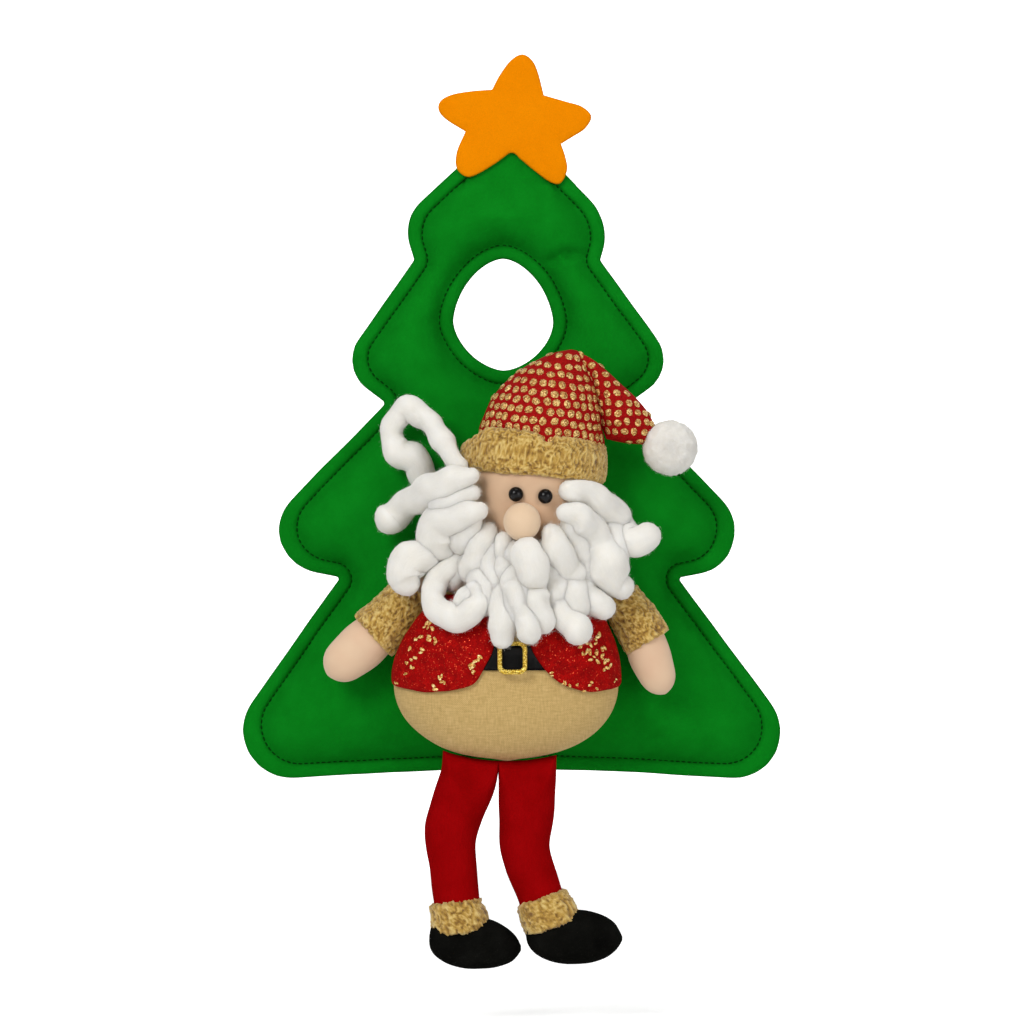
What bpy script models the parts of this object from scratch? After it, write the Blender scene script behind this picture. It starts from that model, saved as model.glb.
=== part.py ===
# Christmas tree door hanger: a stuffed felt tree with a knob hole, a star and a stuffed doll.
# Metres, +Z up. The front faces -Y and the flat back lies in the plane y = 0.
# The origin is the top middle of the knob hole. Left and right are the viewer's.
import math

import bmesh
import bpy
from mathutils import Matrix
from mathutils import Vector
from mathutils.bvhtree import BVHTree
from mathutils.geometry import delaunay_2d_cdt

# Clearances and steps that every piece shares
GAP = 0.0003
FACET_EASE = 0.0005
ARC_STEPS = 6
RING_SIDES = 24
SMALL_SIDES = 14
TRACE_START = 0.250
TRACE_STOP = 0.00002
SHARP_DEGREES = 40

# Tree
TREE_WIDTH = 0.2965
TREE_HEIGHT = 0.344
TREE_DEPTH = 0.030
TREE_TOP_ABOVE_HOLE = 0.0585
TREE_SIDE_SHIFT = 0.0025
BACK_FELT = 0.0015
FRONT_FELT = 0.0018
SEAM_INSET = 0.008
FILL_INSET = 0.012
PUFF_REACH = 0.037
PUFF_POWER = 2.2
FILL_SPACING = 0.0150
FILL_SMOOTHING = 4
THREAD_RADIUS = 0.0005

# Corners of the right half of the tree from the top: outward share of the half width,
# downward share of the height, and fillet share of the height
TREE_CORNER_SHARES = (
    (0.0, -0.0075, 0.064),
    (0.382, 0.074, 0.104),
    (0.349, 0.1716, 0.019),
    (0.6605, 0.3443, 0.072),
    (0.4564, 0.4018, 0.0096),
    (1.010, 0.648, 0.0704),
    (0.6308, 0.6808, 0.0096),
    (1.188, 1.0050, 0.0763),
    (0.0, 0.9806, 4.0),
)

# Knob hole: an egg whose widest level lies below its middle
HOLE_WIDTH = 0.0545
HOLE_UPPER_HEIGHT = 0.0345
HOLE_LOWER_HEIGHT = 0.0265
HOLE_ROUNDNESS = 1.7
HOLE_STEPS = 28

# Star: corners clockwise from the top tip, across and up shares of the width, fillet share
STAR_WIDTH = 0.0845
STAR_THICKNESS = 0.003
STAR_SIDE_SHIFT = 0.0058
STAR_ABOVE_TREE_TOP = 0.0190
STAR_LEAN_DEGREES = 3
STAR_ARC_STEPS = 4
STAR_CORNER_SHARES = (
    (0.059, 0.518, 0.081),
    (0.195, 0.150, 0.026),
    (0.605, 0.033, 0.078),
    (0.306, -0.169, 0.026),
    (0.391, -0.521, 0.078),
    (-0.0065, -0.208, 0.052),
    (-0.443, -0.456, 0.078),
    (-0.306, -0.091, 0.026),
    (-0.605, 0.104, 0.072),
    (-0.143, 0.189, 0.026),
)

# Doll torso: its widest level hangs this far below the top of the knob hole
TORSO_DROP = 0.2315
TORSO_SIDE_SHIFT = 0.00165
TORSO_WIDTH = 0.123
TORSO_UPPER_HEIGHT = 0.064
TORSO_LOWER_HEIGHT = 0.044
TORSO_FRONT_DEPTH = 0.033
TORSO_BACK_DEPTH = 0.020
TORSO_ROUNDNESS = 2.2
TORSO_TOP_ROUNDNESS = 2.0
TORSO_LEVELS = 13
TORSO_COVER = 0.0012
NECK_LEAN = 0.0088
NECK_OPENING_DEGREES = 72
NECK_BULGE = 0.002

# Belt and buckle, placed from the torso's widest level
BELT_THICKNESS = 0.0012
BELT_LOW = 0.0070
BELT_HIGH = 0.0204
BELT_REACH_SIDES = 7
BELT_ROW_SHARES = (0.0, 0.5, 1.0)
BUCKLE_SIDE_SHIFT = 0.0032
BUCKLE_WIDTH = 0.0162
BUCKLE_HEIGHT = 0.0182
BUCKLE_BAR = 0.0028
BUCKLE_THICKNESS = 0.002
BUCKLE_CORNER = 0.004
BUCKLE_LEAN_DEGREES = 12

# Vest panels: height above the torso's widest level, then the angles round the torso
# of the inner edge and the outer edge, from straight ahead
VEST_THICKNESS = 0.0012
VEST_COLUMNS = 9
VEST_HEIGHT = 0.050
VEST_BOTTOM_DROP = 0.0050
LEFT_VEST_SHARES = (
    (0.0, -0.435, -0.90),
    (0.04, -0.318, -0.94),
    (0.12, -0.250, -0.95),
    (0.26, -0.185, -0.95),
    (0.42, -0.128, -0.94),
    (0.60, -0.132, -0.93),
    (0.80, -0.230, -0.92),
    (1.0, -0.420, -0.90),
)
RIGHT_VEST_SHARES = (
    (0.0, 0.645, 0.90),
    (0.04, 0.572, 0.94),
    (0.12, 0.479, 0.95),
    (0.26, 0.391, 0.95),
    (0.42, 0.305, 0.94),
    (0.60, 0.271, 0.93),
    (0.80, 0.220, 0.92),
    (1.0, 0.186, 0.90),
)

# Head, placed from the torso's widest level
HEAD_RISE = 0.1089
HEAD_SIDE_SHIFT = 0.0146
HEAD_WIDTH = 0.0704
HEAD_UPPER_HEIGHT = 0.044
HEAD_LOWER_HEIGHT = 0.0505
HEAD_FRONT_DEPTH = 0.031
HEAD_BACK_DEPTH = 0.016
HEAD_LEVELS = 13
NOSE_RADIUS = 0.0100
NOSE_SIDE_SHIFT = -0.0061
NOSE_DROP = 0.0218
NOSE_SINK_SHARE = 0.35
EYE_RADIUS = 0.0040
EYE_SINK_SHARE = 0.25
EYE_DROP = 0.0075
EYE_SPACING = 0.0158
EYE_SIDE_SHIFT = -0.0015

# Hat: levels from the rim up, as rise share of the height, side shift share and
# half width share of the width; the rim lies this far above the head's widest level
HAT_RIM_RISE = 0.0055
HAT_HEIGHT = 0.0663
HAT_WIDTH = 0.0704
HAT_FABRIC = 0.0012
HAT_TILT_SHARE = 0.08
HAT_DEPTH_SHARE = 0.88
HAT_LEVEL_SHARES = (
    (0.0, 0.004, 0.480),
    (0.125, 0.008, 0.480),
    (0.235, 0.012, 0.466),
    (0.315, 0.028, 0.470),
    (0.375, 0.050, 0.473),
    (0.480, 0.073, 0.453),
    (0.605, 0.085, 0.410),
    (0.730, 0.112, 0.340),
    (0.840, 0.148, 0.258),
    (0.925, 0.210, 0.168),
    (0.985, 0.270, 0.085),
)
HAT_TIP_SHIFT_SHARE = 0.285
BAND_LEVELS = 4
BAND_THICKNESS = 0.0047
BAND_THICKNESS_SHARES = (0.62, 1.0, 1.0, 0.34)

# Hat tail: stations from the crease to the tip, as side and down shares of the length,
# and half height and half depth shares of the length
TAIL_LENGTH = 0.0400
TAIL_TOP_LEVEL_SHARE = 0.955
TAIL_LOW_LEVEL_SHARE = 0.30
TAIL_DEPTH = 0.024
TAIL_CAP_SHARES = (0.0, 0.45, 0.8, 1.0)
TAIL_STATION_SHARES = (
    (0.42, 0.24, 0.40, 0.80),
    (0.72, 0.42, 0.27, 0.62),
    (0.90, 0.56, 0.17, 0.42),
    (1.00, 0.66, 0.08, 0.24),
)
POMPOM_RADIUS = 0.0150
POMPOM_SIDE_SHARE = 0.80
POMPOM_DROP_SHARE = 0.60

# Arms: the shoulder's rise above the torso's widest level, then stations along the arm as
# side and down shares of the length and half width shares of the width
ARM_LENGTH = 0.0620
ARM_WIDTH = 0.0270
ARM_DEPTH = 0.0230
SLEEVE_THICKNESS = 0.0022
SLEEVE_STATIONS = 7
HAND_ROUND_SHARE = 0.62
HAND_TIP_SHARE = 0.93
LEFT_SHOULDER_RISE = 0.0484
RIGHT_SHOULDER_RISE = 0.0451
LEFT_ARM_SHARES = (
    (0.0, 0.0, 0.300),
    (-0.236, 0.190, 0.335),
    (-0.392, 0.400, 0.370),
    (-0.474, 0.495, 0.460),
    (-0.584, 0.620, 0.440),
    (-0.690, 0.742, 0.350),
)
RIGHT_ARM_SHARES = (
    (0.0, 0.0, 0.300),
    (0.183, 0.190, 0.335),
    (0.297, 0.385, 0.370),
    (0.342, 0.497, 0.450),
    (0.392, 0.622, 0.420),
    (0.430, 0.743, 0.310),
)
ARM_LIFT_DEGREES = 70
ARM_LIFT_STEPS = 4

# Legs: stations below the hip as side and down shares of the length and half width shares
LEG_LENGTH = 0.0897
LEG_WIDTH = 0.0335
LEG_DEPTH = 0.0280
HIP_EDGE_RADIUS = 0.0020
HIP_WEDGE_DEGREES = 25
HIP_TOP_SHARE = 0.10
LEG_STATIONS = 16
HIP_CAP_SHARES = (0.35, 0.70)
LEFT_HIP_SHIFT = -0.0206
RIGHT_HIP_SHIFT = 0.0116
LEFT_LEG_SHARES = (
    (-0.021, 0.153, 0.484),
    (-0.052, 0.252, 0.480),
    (-0.086, 0.350, 0.475),
    (-0.110, 0.448, 0.459),
    (-0.114, 0.560, 0.420),
    (-0.095, 0.693, 0.400),
    (-0.083, 0.840, 0.385),
    (-0.074, 1.030, 0.360),
)
RIGHT_LEG_SHARES = (
    (-0.003, 0.153, 0.452),
    (0.000, 0.252, 0.450),
    (-0.003, 0.350, 0.446),
    (-0.012, 0.448, 0.443),
    (-0.018, 0.546, 0.410),
    (0.026, 0.693, 0.397),
    (0.080, 0.865, 0.385),
    (0.140, 1.030, 0.360),
)

# Shoes and their fur cuffs
SHOE_LENGTH = 0.0515
SHOE_HEIGHT = 0.0265
SHOE_DEPTH = 0.0235
SHOE_ROUNDNESS = 2.3
SHOE_LEVELS = 11
CUFF_THICKNESS = 0.0024
CUFF_TOP_SHARE = 0.870
LEFT_SHOE_SHARES = (0.033, 1.157)
RIGHT_SHOE_SHARES = (0.290, 1.123)

# Beard: wool locks laid on the doll from the front. Routes are across and up shares of the
# beard's width from the head's middle; each begins with its thickness share.
BEARD_WIDTH = 0.1568
LOCK_THICKNESS = 0.0108
LOCK_SPACING = 0.0045
LOCK_SIDES = 8
LOCK_SETTLING = 6
LOCK_SLOPE = 1.2
LOCK_TRIES = 30
BEARD_ROUTE_SHARES = {
    "beard_loop_upper_left": (0.98, (
        (-0.250, 0.040), (-0.284, 0.095), (-0.323, 0.154), (-0.368, 0.203), (-0.418, 0.245),
        (-0.467, 0.245), (-0.498, 0.203), (-0.495, 0.147), (-0.453, 0.105), (-0.404, 0.063),
        (-0.375, 0.014))),
    "beard_lock_left_ear": (1.10, (
        (-0.250, -0.012), (-0.310, -0.018), (-0.370, -0.048), (-0.432, -0.088),
        (-0.496, -0.132))),
    "beard_lock_left_low": (1.15, (
        (-0.272, -0.278), (-0.320, -0.256), (-0.380, -0.247), (-0.432, -0.266),
        (-0.453, -0.312), (-0.430, -0.348))),
    "beard_lock_left_cheek": (1.20, (
        (-0.220, -0.080), (-0.275, -0.105), (-0.330, -0.150), (-0.332, -0.205),
        (-0.300, -0.248), (-0.250, -0.272))),
    "beard_curl_left": (1.00, (
        (-0.245, -0.300), (-0.310, -0.325), (-0.350, -0.385), (-0.335, -0.446), (-0.285, -0.472),
        (-0.225, -0.455), (-0.205, -0.400), (-0.240, -0.375))),
    "beard_moustache_left": (1.10, (
        (-0.150, -0.165), (-0.178, -0.212), (-0.190, -0.262), (-0.180, -0.315))),
    "beard_lock_middle_left": (1.05, (
        (-0.105, -0.225), (-0.105, -0.300), (-0.130, -0.362), (-0.128, -0.440),
        (-0.105, -0.510))),
    "beard_lock_right_ear": (1.20, (
        (0.150, -0.020), (0.205, -0.030), (0.262, -0.070), (0.315, -0.120), (0.372, -0.175),
        (0.398, -0.215))),
    "beard_lock_right_cheek": (1.15, (
        (0.142, -0.092), (0.192, -0.118), (0.238, -0.175), (0.272, -0.240), (0.302, -0.300),
        (0.310, -0.350))),
    "beard_lock_middle_right": (1.15, (
        (0.125, -0.175), (0.162, -0.225), (0.195, -0.290), (0.222, -0.355), (0.232, -0.415))),
    "beard_moustache_right": (1.10, (
        (0.060, -0.190), (0.088, -0.245), (0.118, -0.300), (0.135, -0.345))),
    "beard_lock_right_low": (1.00, (
        (0.080, -0.330), (0.098, -0.395), (0.130, -0.450), (0.152, -0.505))),
    "beard_lock_chin": (1.20, (
        (-0.022, -0.215), (-0.020, -0.285), (-0.012, -0.350), (0.012, -0.410),
        (0.022, -0.460))),
    "beard_lock_chin_low": (1.05, (
        (-0.052, -0.330), (-0.058, -0.400), (-0.045, -0.465), (-0.015, -0.525))),
}

# Colours and surfaces: red, green and blue of the base colour, roughness, metallic
COLOURS = {
    "green_felt": ((0.008, 0.190, 0.020), 0.95, 0.0),
    "white_fill": ((0.850, 0.850, 0.830), 0.95, 0.0),
    "green_thread": ((0.005, 0.090, 0.012), 0.80, 0.0),
    "orange_felt": ((0.880, 0.280, 0.004), 0.85, 0.0),
    "burlap": ((0.520, 0.350, 0.140), 0.90, 0.0),
    "black_vinyl": ((0.010, 0.010, 0.010), 0.40, 0.0),
    "gold_metal": ((0.620, 0.400, 0.060), 0.35, 1.0),
    "red_glitter_cloth": ((0.420, 0.006, 0.008), 0.50, 0.1),
    "skin_cloth": ((0.720, 0.450, 0.310), 0.85, 0.0),
    "black_bead": ((0.004, 0.004, 0.004), 0.08, 0.0),
    "red_dotted_cloth": ((0.400, 0.020, 0.012), 0.60, 0.1),
    "gold_fur": ((0.430, 0.240, 0.055), 0.80, 0.2),
    "white_wool": ((0.800, 0.760, 0.720), 0.95, 0.0),
    "red_felt": ((0.270, 0.002, 0.004), 0.95, 0.0),
    "black_felt": ((0.008, 0.008, 0.006), 0.95, 0.0),
}

BACKWARD = Vector((0.0, 1.0, 0.0))
TORSO_X = TORSO_SIDE_SHIFT
TORSO_Y = -(TREE_DEPTH + GAP + TORSO_BACK_DEPTH)
TORSO_Z = -TORSO_DROP
TREE_FRONT = -(TREE_DEPTH + GAP)
CROWN_BACK = TREE_FRONT - BAND_THICKNESS - GAP
HEAD_BACK = CROWN_BACK - HAT_FABRIC - GAP
HEAD_X = TORSO_X + HEAD_SIDE_SHIFT
HEAD_Y = HEAD_BACK - HEAD_BACK_DEPTH
HEAD_Z = TORSO_Z + HEAD_RISE
SEAM_DEPTH = BACK_FELT + GAP + FRONT_FELT

# Faces of every finished piece, for laying later pieces on them
surfaces = {}


def clear_scene():
    """Remove whatever the open scene holds."""
    for thing in list(bpy.data.objects):
        bpy.data.objects.remove(thing, do_unlink=True)


def make_material(name):
    """A Principled material with the named colour, roughness and metallic value."""
    colour, roughness, metallic = COLOURS[name]
    material = bpy.data.materials.new(name)
    material.use_nodes = True
    shader = material.node_tree.nodes["Principled BSDF"]
    shader.inputs["Base Color"].default_value = (*colour, 1.0)
    shader.inputs["Roughness"].default_value = roughness
    shader.inputs["Metallic"].default_value = metallic
    return material


def add_piece(name, shape, material_name, origin=None):
    """Turn a bmesh in world places into a named object with its origin at a chosen point."""
    bmesh.ops.recalc_face_normals(shape, faces=shape.faces[:])
    surfaces[name] = BVHTree.FromBMesh(shape)
    origin = origin or Vector((0.0, 0.0, 0.0))
    bmesh.ops.translate(shape, vec=-origin, verts=shape.verts[:])
    mesh = bpy.data.meshes.new(name)
    shape.to_mesh(mesh)
    shape.free()
    mesh.shade_smooth()
    mesh.set_sharp_from_angle(angle=math.radians(SHARP_DEGREES))
    piece = bpy.data.objects.new(name, mesh)
    piece.location = origin
    piece.data.materials.append(materials[material_name])
    bpy.context.collection.objects.link(piece)
    return piece


def add_cutter(name, shape):
    """A hidden solid that another piece is cut by."""
    cutter = add_piece(name, shape, "white_fill")
    cutter.hide_render = True
    cutter.display_type = 'WIRE'
    del surfaces[name]
    return cutter


def cut_away(piece, cutter):
    """Cut a piece by a hidden solid."""
    modifier = piece.modifiers.new("cut_by_" + cutter.name, 'BOOLEAN')
    modifier.operation = 'DIFFERENCE'
    modifier.solver = 'EXACT'
    modifier.object = cutter


def loft(sections, closed=False):
    """Skin rings of equal count; a section of one point is a pole, open ends get flat caps."""
    shape = bmesh.new()
    rows = [[shape.verts.new(point) for point in section] for section in sections]
    pairs = list(zip(rows, rows[1:]))
    if closed:
        pairs.append((rows[-1], rows[0]))
    for first, second in pairs:
        count = max(len(first), len(second))
        for k in range(count):
            after = (k + 1) % count
            if len(first) == 1:
                shape.faces.new((first[0], second[k], second[after]))
            elif len(second) == 1:
                shape.faces.new((first[k], first[after], second[0]))
            else:
                shape.faces.new((first[k], first[after], second[after], second[k]))
    if not closed:
        for row in (rows[0], rows[-1]):
            if len(row) > 1:
                shape.faces.new(row)
    return shape


def ball_sections(centre, radius, sides, levels):
    """Poles and level rings of a ball."""
    sections = [[centre - Vector((0.0, 0.0, radius))]]
    for level in range(1, levels):
        rise = math.pi * (level / levels - 1 / 2)
        ring = []
        for k in range(sides):
            turn = 2 * math.pi * k / sides
            ring.append(centre + radius * Vector((
                math.cos(rise) * math.sin(turn), -math.cos(rise) * math.cos(turn), math.sin(rise))))
        sections.append(ring)
    sections.append([centre + Vector((0.0, 0.0, radius))])
    return sections


def smooth_route(points, spacing):
    """Even points on a smooth curve through the given ones."""
    dense = []
    ends = [points[0] * 2 - points[1]] + list(points) + [points[-1] * 2 - points[-2]]
    steps = ARC_STEPS * 2
    for before, start, stop, after in zip(ends, ends[1:], ends[2:], ends[3:]):
        for step in range(steps):
            t = step / steps
            dense.append((
                start * 2 + (stop - before) * t
                + (before * 2 - start * 5 + stop * 4 - after) * t ** 2
                + (start * 3 - before - stop * 3 + after) * t ** 3) / 2)
    dense.append(points[-1])
    lengths = [0.0]
    for start, stop in zip(dense, dense[1:]):
        lengths.append(lengths[-1] + (stop - start).length)
    count = max(2, round(lengths[-1] / spacing))
    route = []
    index = 0
    for step in range(count + 1):
        target = lengths[-1] * step / count
        while index < len(dense) - 2 and lengths[index + 1] < target:
            index += 1
        span = lengths[index + 1] - lengths[index]
        share = (target - lengths[index]) / span
        route.append(dense[index].lerp(dense[index + 1], min(max(share, 0.0), 1.0)))
    return route


def tube_sections(route, radius, sides):
    """Rings of a round tube along a route, with rounded ends."""
    slant = math.sqrt(1 / 2)
    directions = []
    for k, point in enumerate(route):
        before = route[max(k - 1, 0)]
        after = route[min(k + 1, len(route) - 1)]
        directions.append((after - before).normalized())
    side = directions[0].orthogonal().normalized()
    frames = []
    for direction in directions:
        side = (side - direction * side.dot(direction)).normalized()
        frames.append((side, direction.cross(side)))
    stations = [(route[0] - directions[0] * radius * slant, frames[0], radius * slant)]
    stations += [(point, frame, radius) for point, frame in zip(route, frames)]
    stations.append((route[-1] + directions[-1] * radius * slant, frames[-1], radius * slant))
    sections = [[route[0] - directions[0] * radius]]
    for centre, (across, upward), size in stations:
        ring = []
        for k in range(sides):
            turn = 2 * math.pi * k / sides
            ring.append(centre + across * size * math.cos(turn) + upward * size * math.sin(turn))
        sections.append(ring)
    sections.append([route[-1] + directions[-1] * radius])
    return sections


def rounded_outline(corners, steps):
    """Points of a cornered outline whose corners are (Vector, fillet radius), arcs included."""
    points = []
    for k, (corner, radius) in enumerate(corners):
        before = (corner - corners[k - 1][0]).normalized()
        after = (corners[(k + 1) % len(corners)][0] - corner).normalized()
        turn = before.angle_signed(after)
        reach = radius * math.tan(abs(turn) / 2)
        start = corner - before * reach
        inward = Vector((before.y, -before.x)) * math.copysign(radius, turn)
        centre = start + inward
        for step in range(steps + 1):
            points.append(centre + Matrix.Rotation(-turn * step / steps, 2) @ -inward)
    return points


def inset_corners(corners, inset):
    """Move every edge of a clockwise cornered outline inward and keep the fillets parallel."""
    moved = []
    for k, (corner, radius) in enumerate(corners):
        before = (corner - corners[k - 1][0]).normalized()
        after = (corners[(k + 1) % len(corners)][0] - corner).normalized()
        inward_before = Vector((before.y, -before.x))
        inward_after = Vector((after.y, -after.x))
        bisector = (inward_before + inward_after).normalized()
        convex = before.angle_signed(after) > 0
        moved.append((
            corner + bisector * inset / bisector.dot(inward_after),
            radius - inset if convex else radius + inset))
    return moved


def tree_corners():
    """Clockwise corners of the whole tree, from the apex down the right side."""
    right = []
    for across, down, fillet in TREE_CORNER_SHARES:
        point = Vector((
            across * TREE_WIDTH / 2, TREE_TOP_ABOVE_HOLE - down * TREE_HEIGHT))
        right.append((point, fillet * TREE_HEIGHT))
    left = [(Vector((-point.x, point.y)), radius) for point, radius in reversed(right[1:-1])]
    shift = Vector((TREE_SIDE_SHIFT, 0.0))
    return [(point + shift, radius) for point, radius in right + left]


def tree_outline(inset):
    """Outline of the tree, moved inward by an inset."""
    return rounded_outline(inset_corners(tree_corners(), inset), ARC_STEPS)


def hole_outline(outset):
    """Outline of the knob hole, moved outward by an outset."""
    points = []
    for k in range(HOLE_STEPS):
        turn = 2 * math.pi * k / HOLE_STEPS
        across = math.sin(turn)
        upward = math.cos(turn)
        height = HOLE_UPPER_HEIGHT if upward > 0 else HOLE_LOWER_HEIGHT
        power = 2 / HOLE_ROUNDNESS
        points.append(Vector((
            math.copysign(abs(across) ** power, across) * (HOLE_WIDTH / 2 + outset),
            math.copysign(abs(upward) ** power, upward) * (height + outset) - HOLE_UPPER_HEIGHT)))
    return points


def inside(point, outline):
    """Whether a point lies inside a closed outline."""
    odd = False
    for start, stop in zip(outline, outline[1:] + outline[:1]):
        if (start.y > point.y) != (stop.y > point.y):
            level = (point.y - start.y) / (stop.y - start.y)
            if point.x < start.x + level * (stop.x - start.x):
                odd = not odd
    return odd


def distance_to(point, outline):
    """Distance from a point to a closed outline."""
    nearest = TRACE_START
    for start, stop in zip(outline, outline[1:] + outline[:1]):
        edge = stop - start
        share = min(max((point - start).dot(edge) / edge.length_squared, 0.0), 1.0)
        nearest = min(nearest, (point - start - edge * share).length)
    return nearest


def fill_between(outer, hole, extra):
    """Triangles between an outline and a hole: all points, and index triples."""
    points = outer + hole + extra
    edges = [(k, (k + 1) % len(outer)) for k in range(len(outer))]
    edges += [(len(outer) + k, len(outer) + (k + 1) % len(hole)) for k in range(len(hole))]
    placed, _, faces, _, _, _ = delaunay_2d_cdt(points, edges, [], 0, TRACE_STOP)
    kept = []
    for face in faces:
        middle = (placed[face[0]] + placed[face[1]] + placed[face[2]]) / 3
        if inside(middle, outer) and not inside(middle, hole):
            kept.append(tuple(face))
    return placed, kept


def puff_height(distance):
    """Height of the front felt's outer face at a distance inside the seam."""
    share = min(distance / PUFF_REACH, 1.0)
    return SEAM_DEPTH + (TREE_DEPTH - SEAM_DEPTH) * (1 - (1 - share) ** PUFF_POWER)


def tree_field():
    """Flat points and triangles of the stuffed area, with the felt's height at each point."""
    outer = tree_outline(FILL_INSET)
    hole = hole_outline(FILL_INSET)
    seam = tree_outline(SEAM_INSET)
    hole_seam = hole_outline(SEAM_INSET)
    spread = FILL_SPACING * math.sqrt(3) / 2
    extra = []
    rows = math.ceil(TREE_HEIGHT / spread)
    columns = math.ceil(TREE_WIDTH / FILL_SPACING)
    for row in range(rows):
        for column in range(-columns, columns):
            point = Vector((
                TREE_SIDE_SHIFT + (column + row % 2 / 2) * FILL_SPACING,
                TREE_TOP_ABOVE_HOLE - row * spread))
            if not inside(point, outer) or inside(point, hole):
                continue
            if min(distance_to(point, outer), distance_to(point, hole)) > FILL_SPACING / 2:
                extra.append(point)
    placed, triangles = fill_between(outer, hole, extra)
    heights = []
    for point in placed:
        nearest = min(distance_to(point, seam), distance_to(point, hole_seam))
        heights.append(puff_height(nearest))
    rim = len(outer) + len(hole)
    neighbours = [set() for _ in placed]
    for triangle in triangles:
        for k in range(3):
            neighbours[triangle[k]].update(triangle)
    for _ in range(FILL_SMOOTHING):
        averages = [sum(heights[n] for n in near) / max(len(near), 1) for near in neighbours]
        heights = heights[:rim] + averages[rim:]
    stretch = (TREE_DEPTH - SEAM_DEPTH) / (max(heights) - SEAM_DEPTH)
    heights[rim:] = [SEAM_DEPTH + (height - SEAM_DEPTH) * stretch for height in heights[rim:]]
    return placed, triangles, heights, len(outer), len(hole)


def sheet(rings, hole_rings, triangles, places, depths, thickness):
    """A sheet from flat places and front depths: strips between rings, then triangles inside.

    rings and hole_rings hold index lists from the edge inward; the sheet's back lies behind
    its front by the thickness."""
    shape = bmesh.new()
    front = [shape.verts.new((p.x, -d, p.y)) for p, d in zip(places, depths)]
    back = [shape.verts.new((p.x, thickness - d, p.y)) for p, d in zip(places, depths)]
    for side in (front, back):
        for group in (rings, hole_rings):
            for first, second in zip(group, group[1:]):
                count = len(first)
                for k in range(count):
                    after = (k + 1) % count
                    shape.faces.new((
                        side[first[k]], side[first[after]], side[second[after]], side[second[k]]))
        for triangle in triangles:
            shape.faces.new([side[k] for k in triangle])
    for group in (rings, hole_rings):
        edge = group[0]
        for k in range(len(edge)):
            after = (k + 1) % len(edge)
            shape.faces.new((front[edge[k]], front[edge[after]], back[edge[after]], back[edge[k]]))
    return shape


def build_tree():
    """Back felt, filling, front felt and the two seam threads."""
    placed, triangles, heights, outer_count, hole_count = tree_field()
    outline = tree_outline(0.0)
    hole = hole_outline(0.0)

    flat, flat_triangles = fill_between(outline, hole, [])
    back_shape = sheet(
        [list(range(outer_count))], [list(range(outer_count, outer_count + hole_count))],
        flat_triangles, flat, [BACK_FELT] * len(flat), BACK_FELT)
    add_piece("tree_back_felt", back_shape, "green_felt")

    places = list(placed)
    depths = list(heights)
    rings = [list(range(outer_count))]
    hole_rings = [list(range(outer_count, outer_count + hole_count))]
    for inset in (SEAM_INSET, 0.0):
        for group, line in ((rings, tree_outline(inset)), (hole_rings, hole_outline(inset))):
            group.insert(0, list(range(len(places), len(places) + len(line))))
            places += line
            depths += [SEAM_DEPTH] * len(line)
    front_shape = sheet(rings, hole_rings, triangles, places, depths, FRONT_FELT)
    add_piece("tree_front_felt", front_shape, "green_felt")

    filling = bmesh.new()
    fill_back = -(BACK_FELT + GAP)
    rim = outer_count + hole_count
    top = [
        filling.verts.new((p.x, -(h - FRONT_FELT - GAP), p.y)) for p, h in zip(placed, heights)]
    bottom = [filling.verts.new((p.x, fill_back, p.y)) for p in placed[:rim]]
    for triangle in triangles:
        filling.faces.new([top[k] for k in triangle])
    _, under = fill_between(placed[:outer_count], placed[outer_count:rim], [])
    for triangle in under:
        filling.faces.new([bottom[k] for k in triangle])
    for start, count in ((0, outer_count), (outer_count, hole_count)):
        for k in range(count):
            first = start + k
            second = start + (k + 1) % count
            filling.faces.new((top[first], top[second], bottom[second], bottom[first]))
    add_piece("tree_stuffing", filling, "white_fill")

    thread_depth = SEAM_DEPTH + GAP + THREAD_RADIUS
    for name, line in (
            ("tree_edge_stitching", tree_outline(SEAM_INSET - THREAD_RADIUS)),
            ("knob_hole_stitching", hole_outline(SEAM_INSET - THREAD_RADIUS))):
        add_piece(name, loft(thread_rings(line, thread_depth), closed=True), "green_thread")


def thread_rings(line, depth):
    """Square-sided rings of a seam thread that lies along a closed line."""
    sections = []
    for k, point in enumerate(line):
        along = (line[(k + 1) % len(line)] - line[k - 1]).normalized()
        across = Vector((along.y, 0.0, -along.x)) * THREAD_RADIUS
        centre = Vector((point.x, -depth, point.y))
        toward = BACKWARD * THREAD_RADIUS
        sections.append([centre + across, centre + toward, centre - across, centre - toward])
    return sections


def free_travel(place, radius, names, limit):
    """How far back along +Y a ball travels from the front before it touches the named pieces."""
    y = -TRACE_START
    while y < limit:
        spot = Vector((place.x, y, place.z))
        room = min(surfaces[name].find_nearest(spot)[3] for name in names) - radius
        if room < TRACE_STOP:
            break
        y += room
    return min(y, limit)


def dense_points(shape):
    """Points all over a bmesh: its vertices, the middles of its edges and of its faces."""
    points = [vert.co.copy() for vert in shape.verts]
    points += [(edge.verts[0].co + edge.verts[1].co) / 2 for edge in shape.edges]
    points += [face.calc_center_median() for face in shape.faces]
    return points


def seat_back(shape, names, clearance):
    """Move a bmesh along +Y until it lies a clearance in front of the named pieces."""
    front = bmesh.new()
    scratch = bpy.data.meshes.new("scratch")
    shape.to_mesh(scratch)
    front.from_mesh(scratch)
    bmesh.ops.triangulate(front, faces=front.faces[:])
    bmesh.ops.subdivide_edges(front, edges=front.edges[:], cuts=2, use_grid_fill=True)
    travel = TRACE_START
    for point in dense_points(front):
        travel = min(travel, free_travel(point, clearance, names, 0.0) - point.y)
    front.free()
    bpy.data.meshes.remove(scratch)
    bmesh.ops.translate(shape, vec=BACKWARD * travel, verts=shape.verts[:])
    return travel


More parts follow.
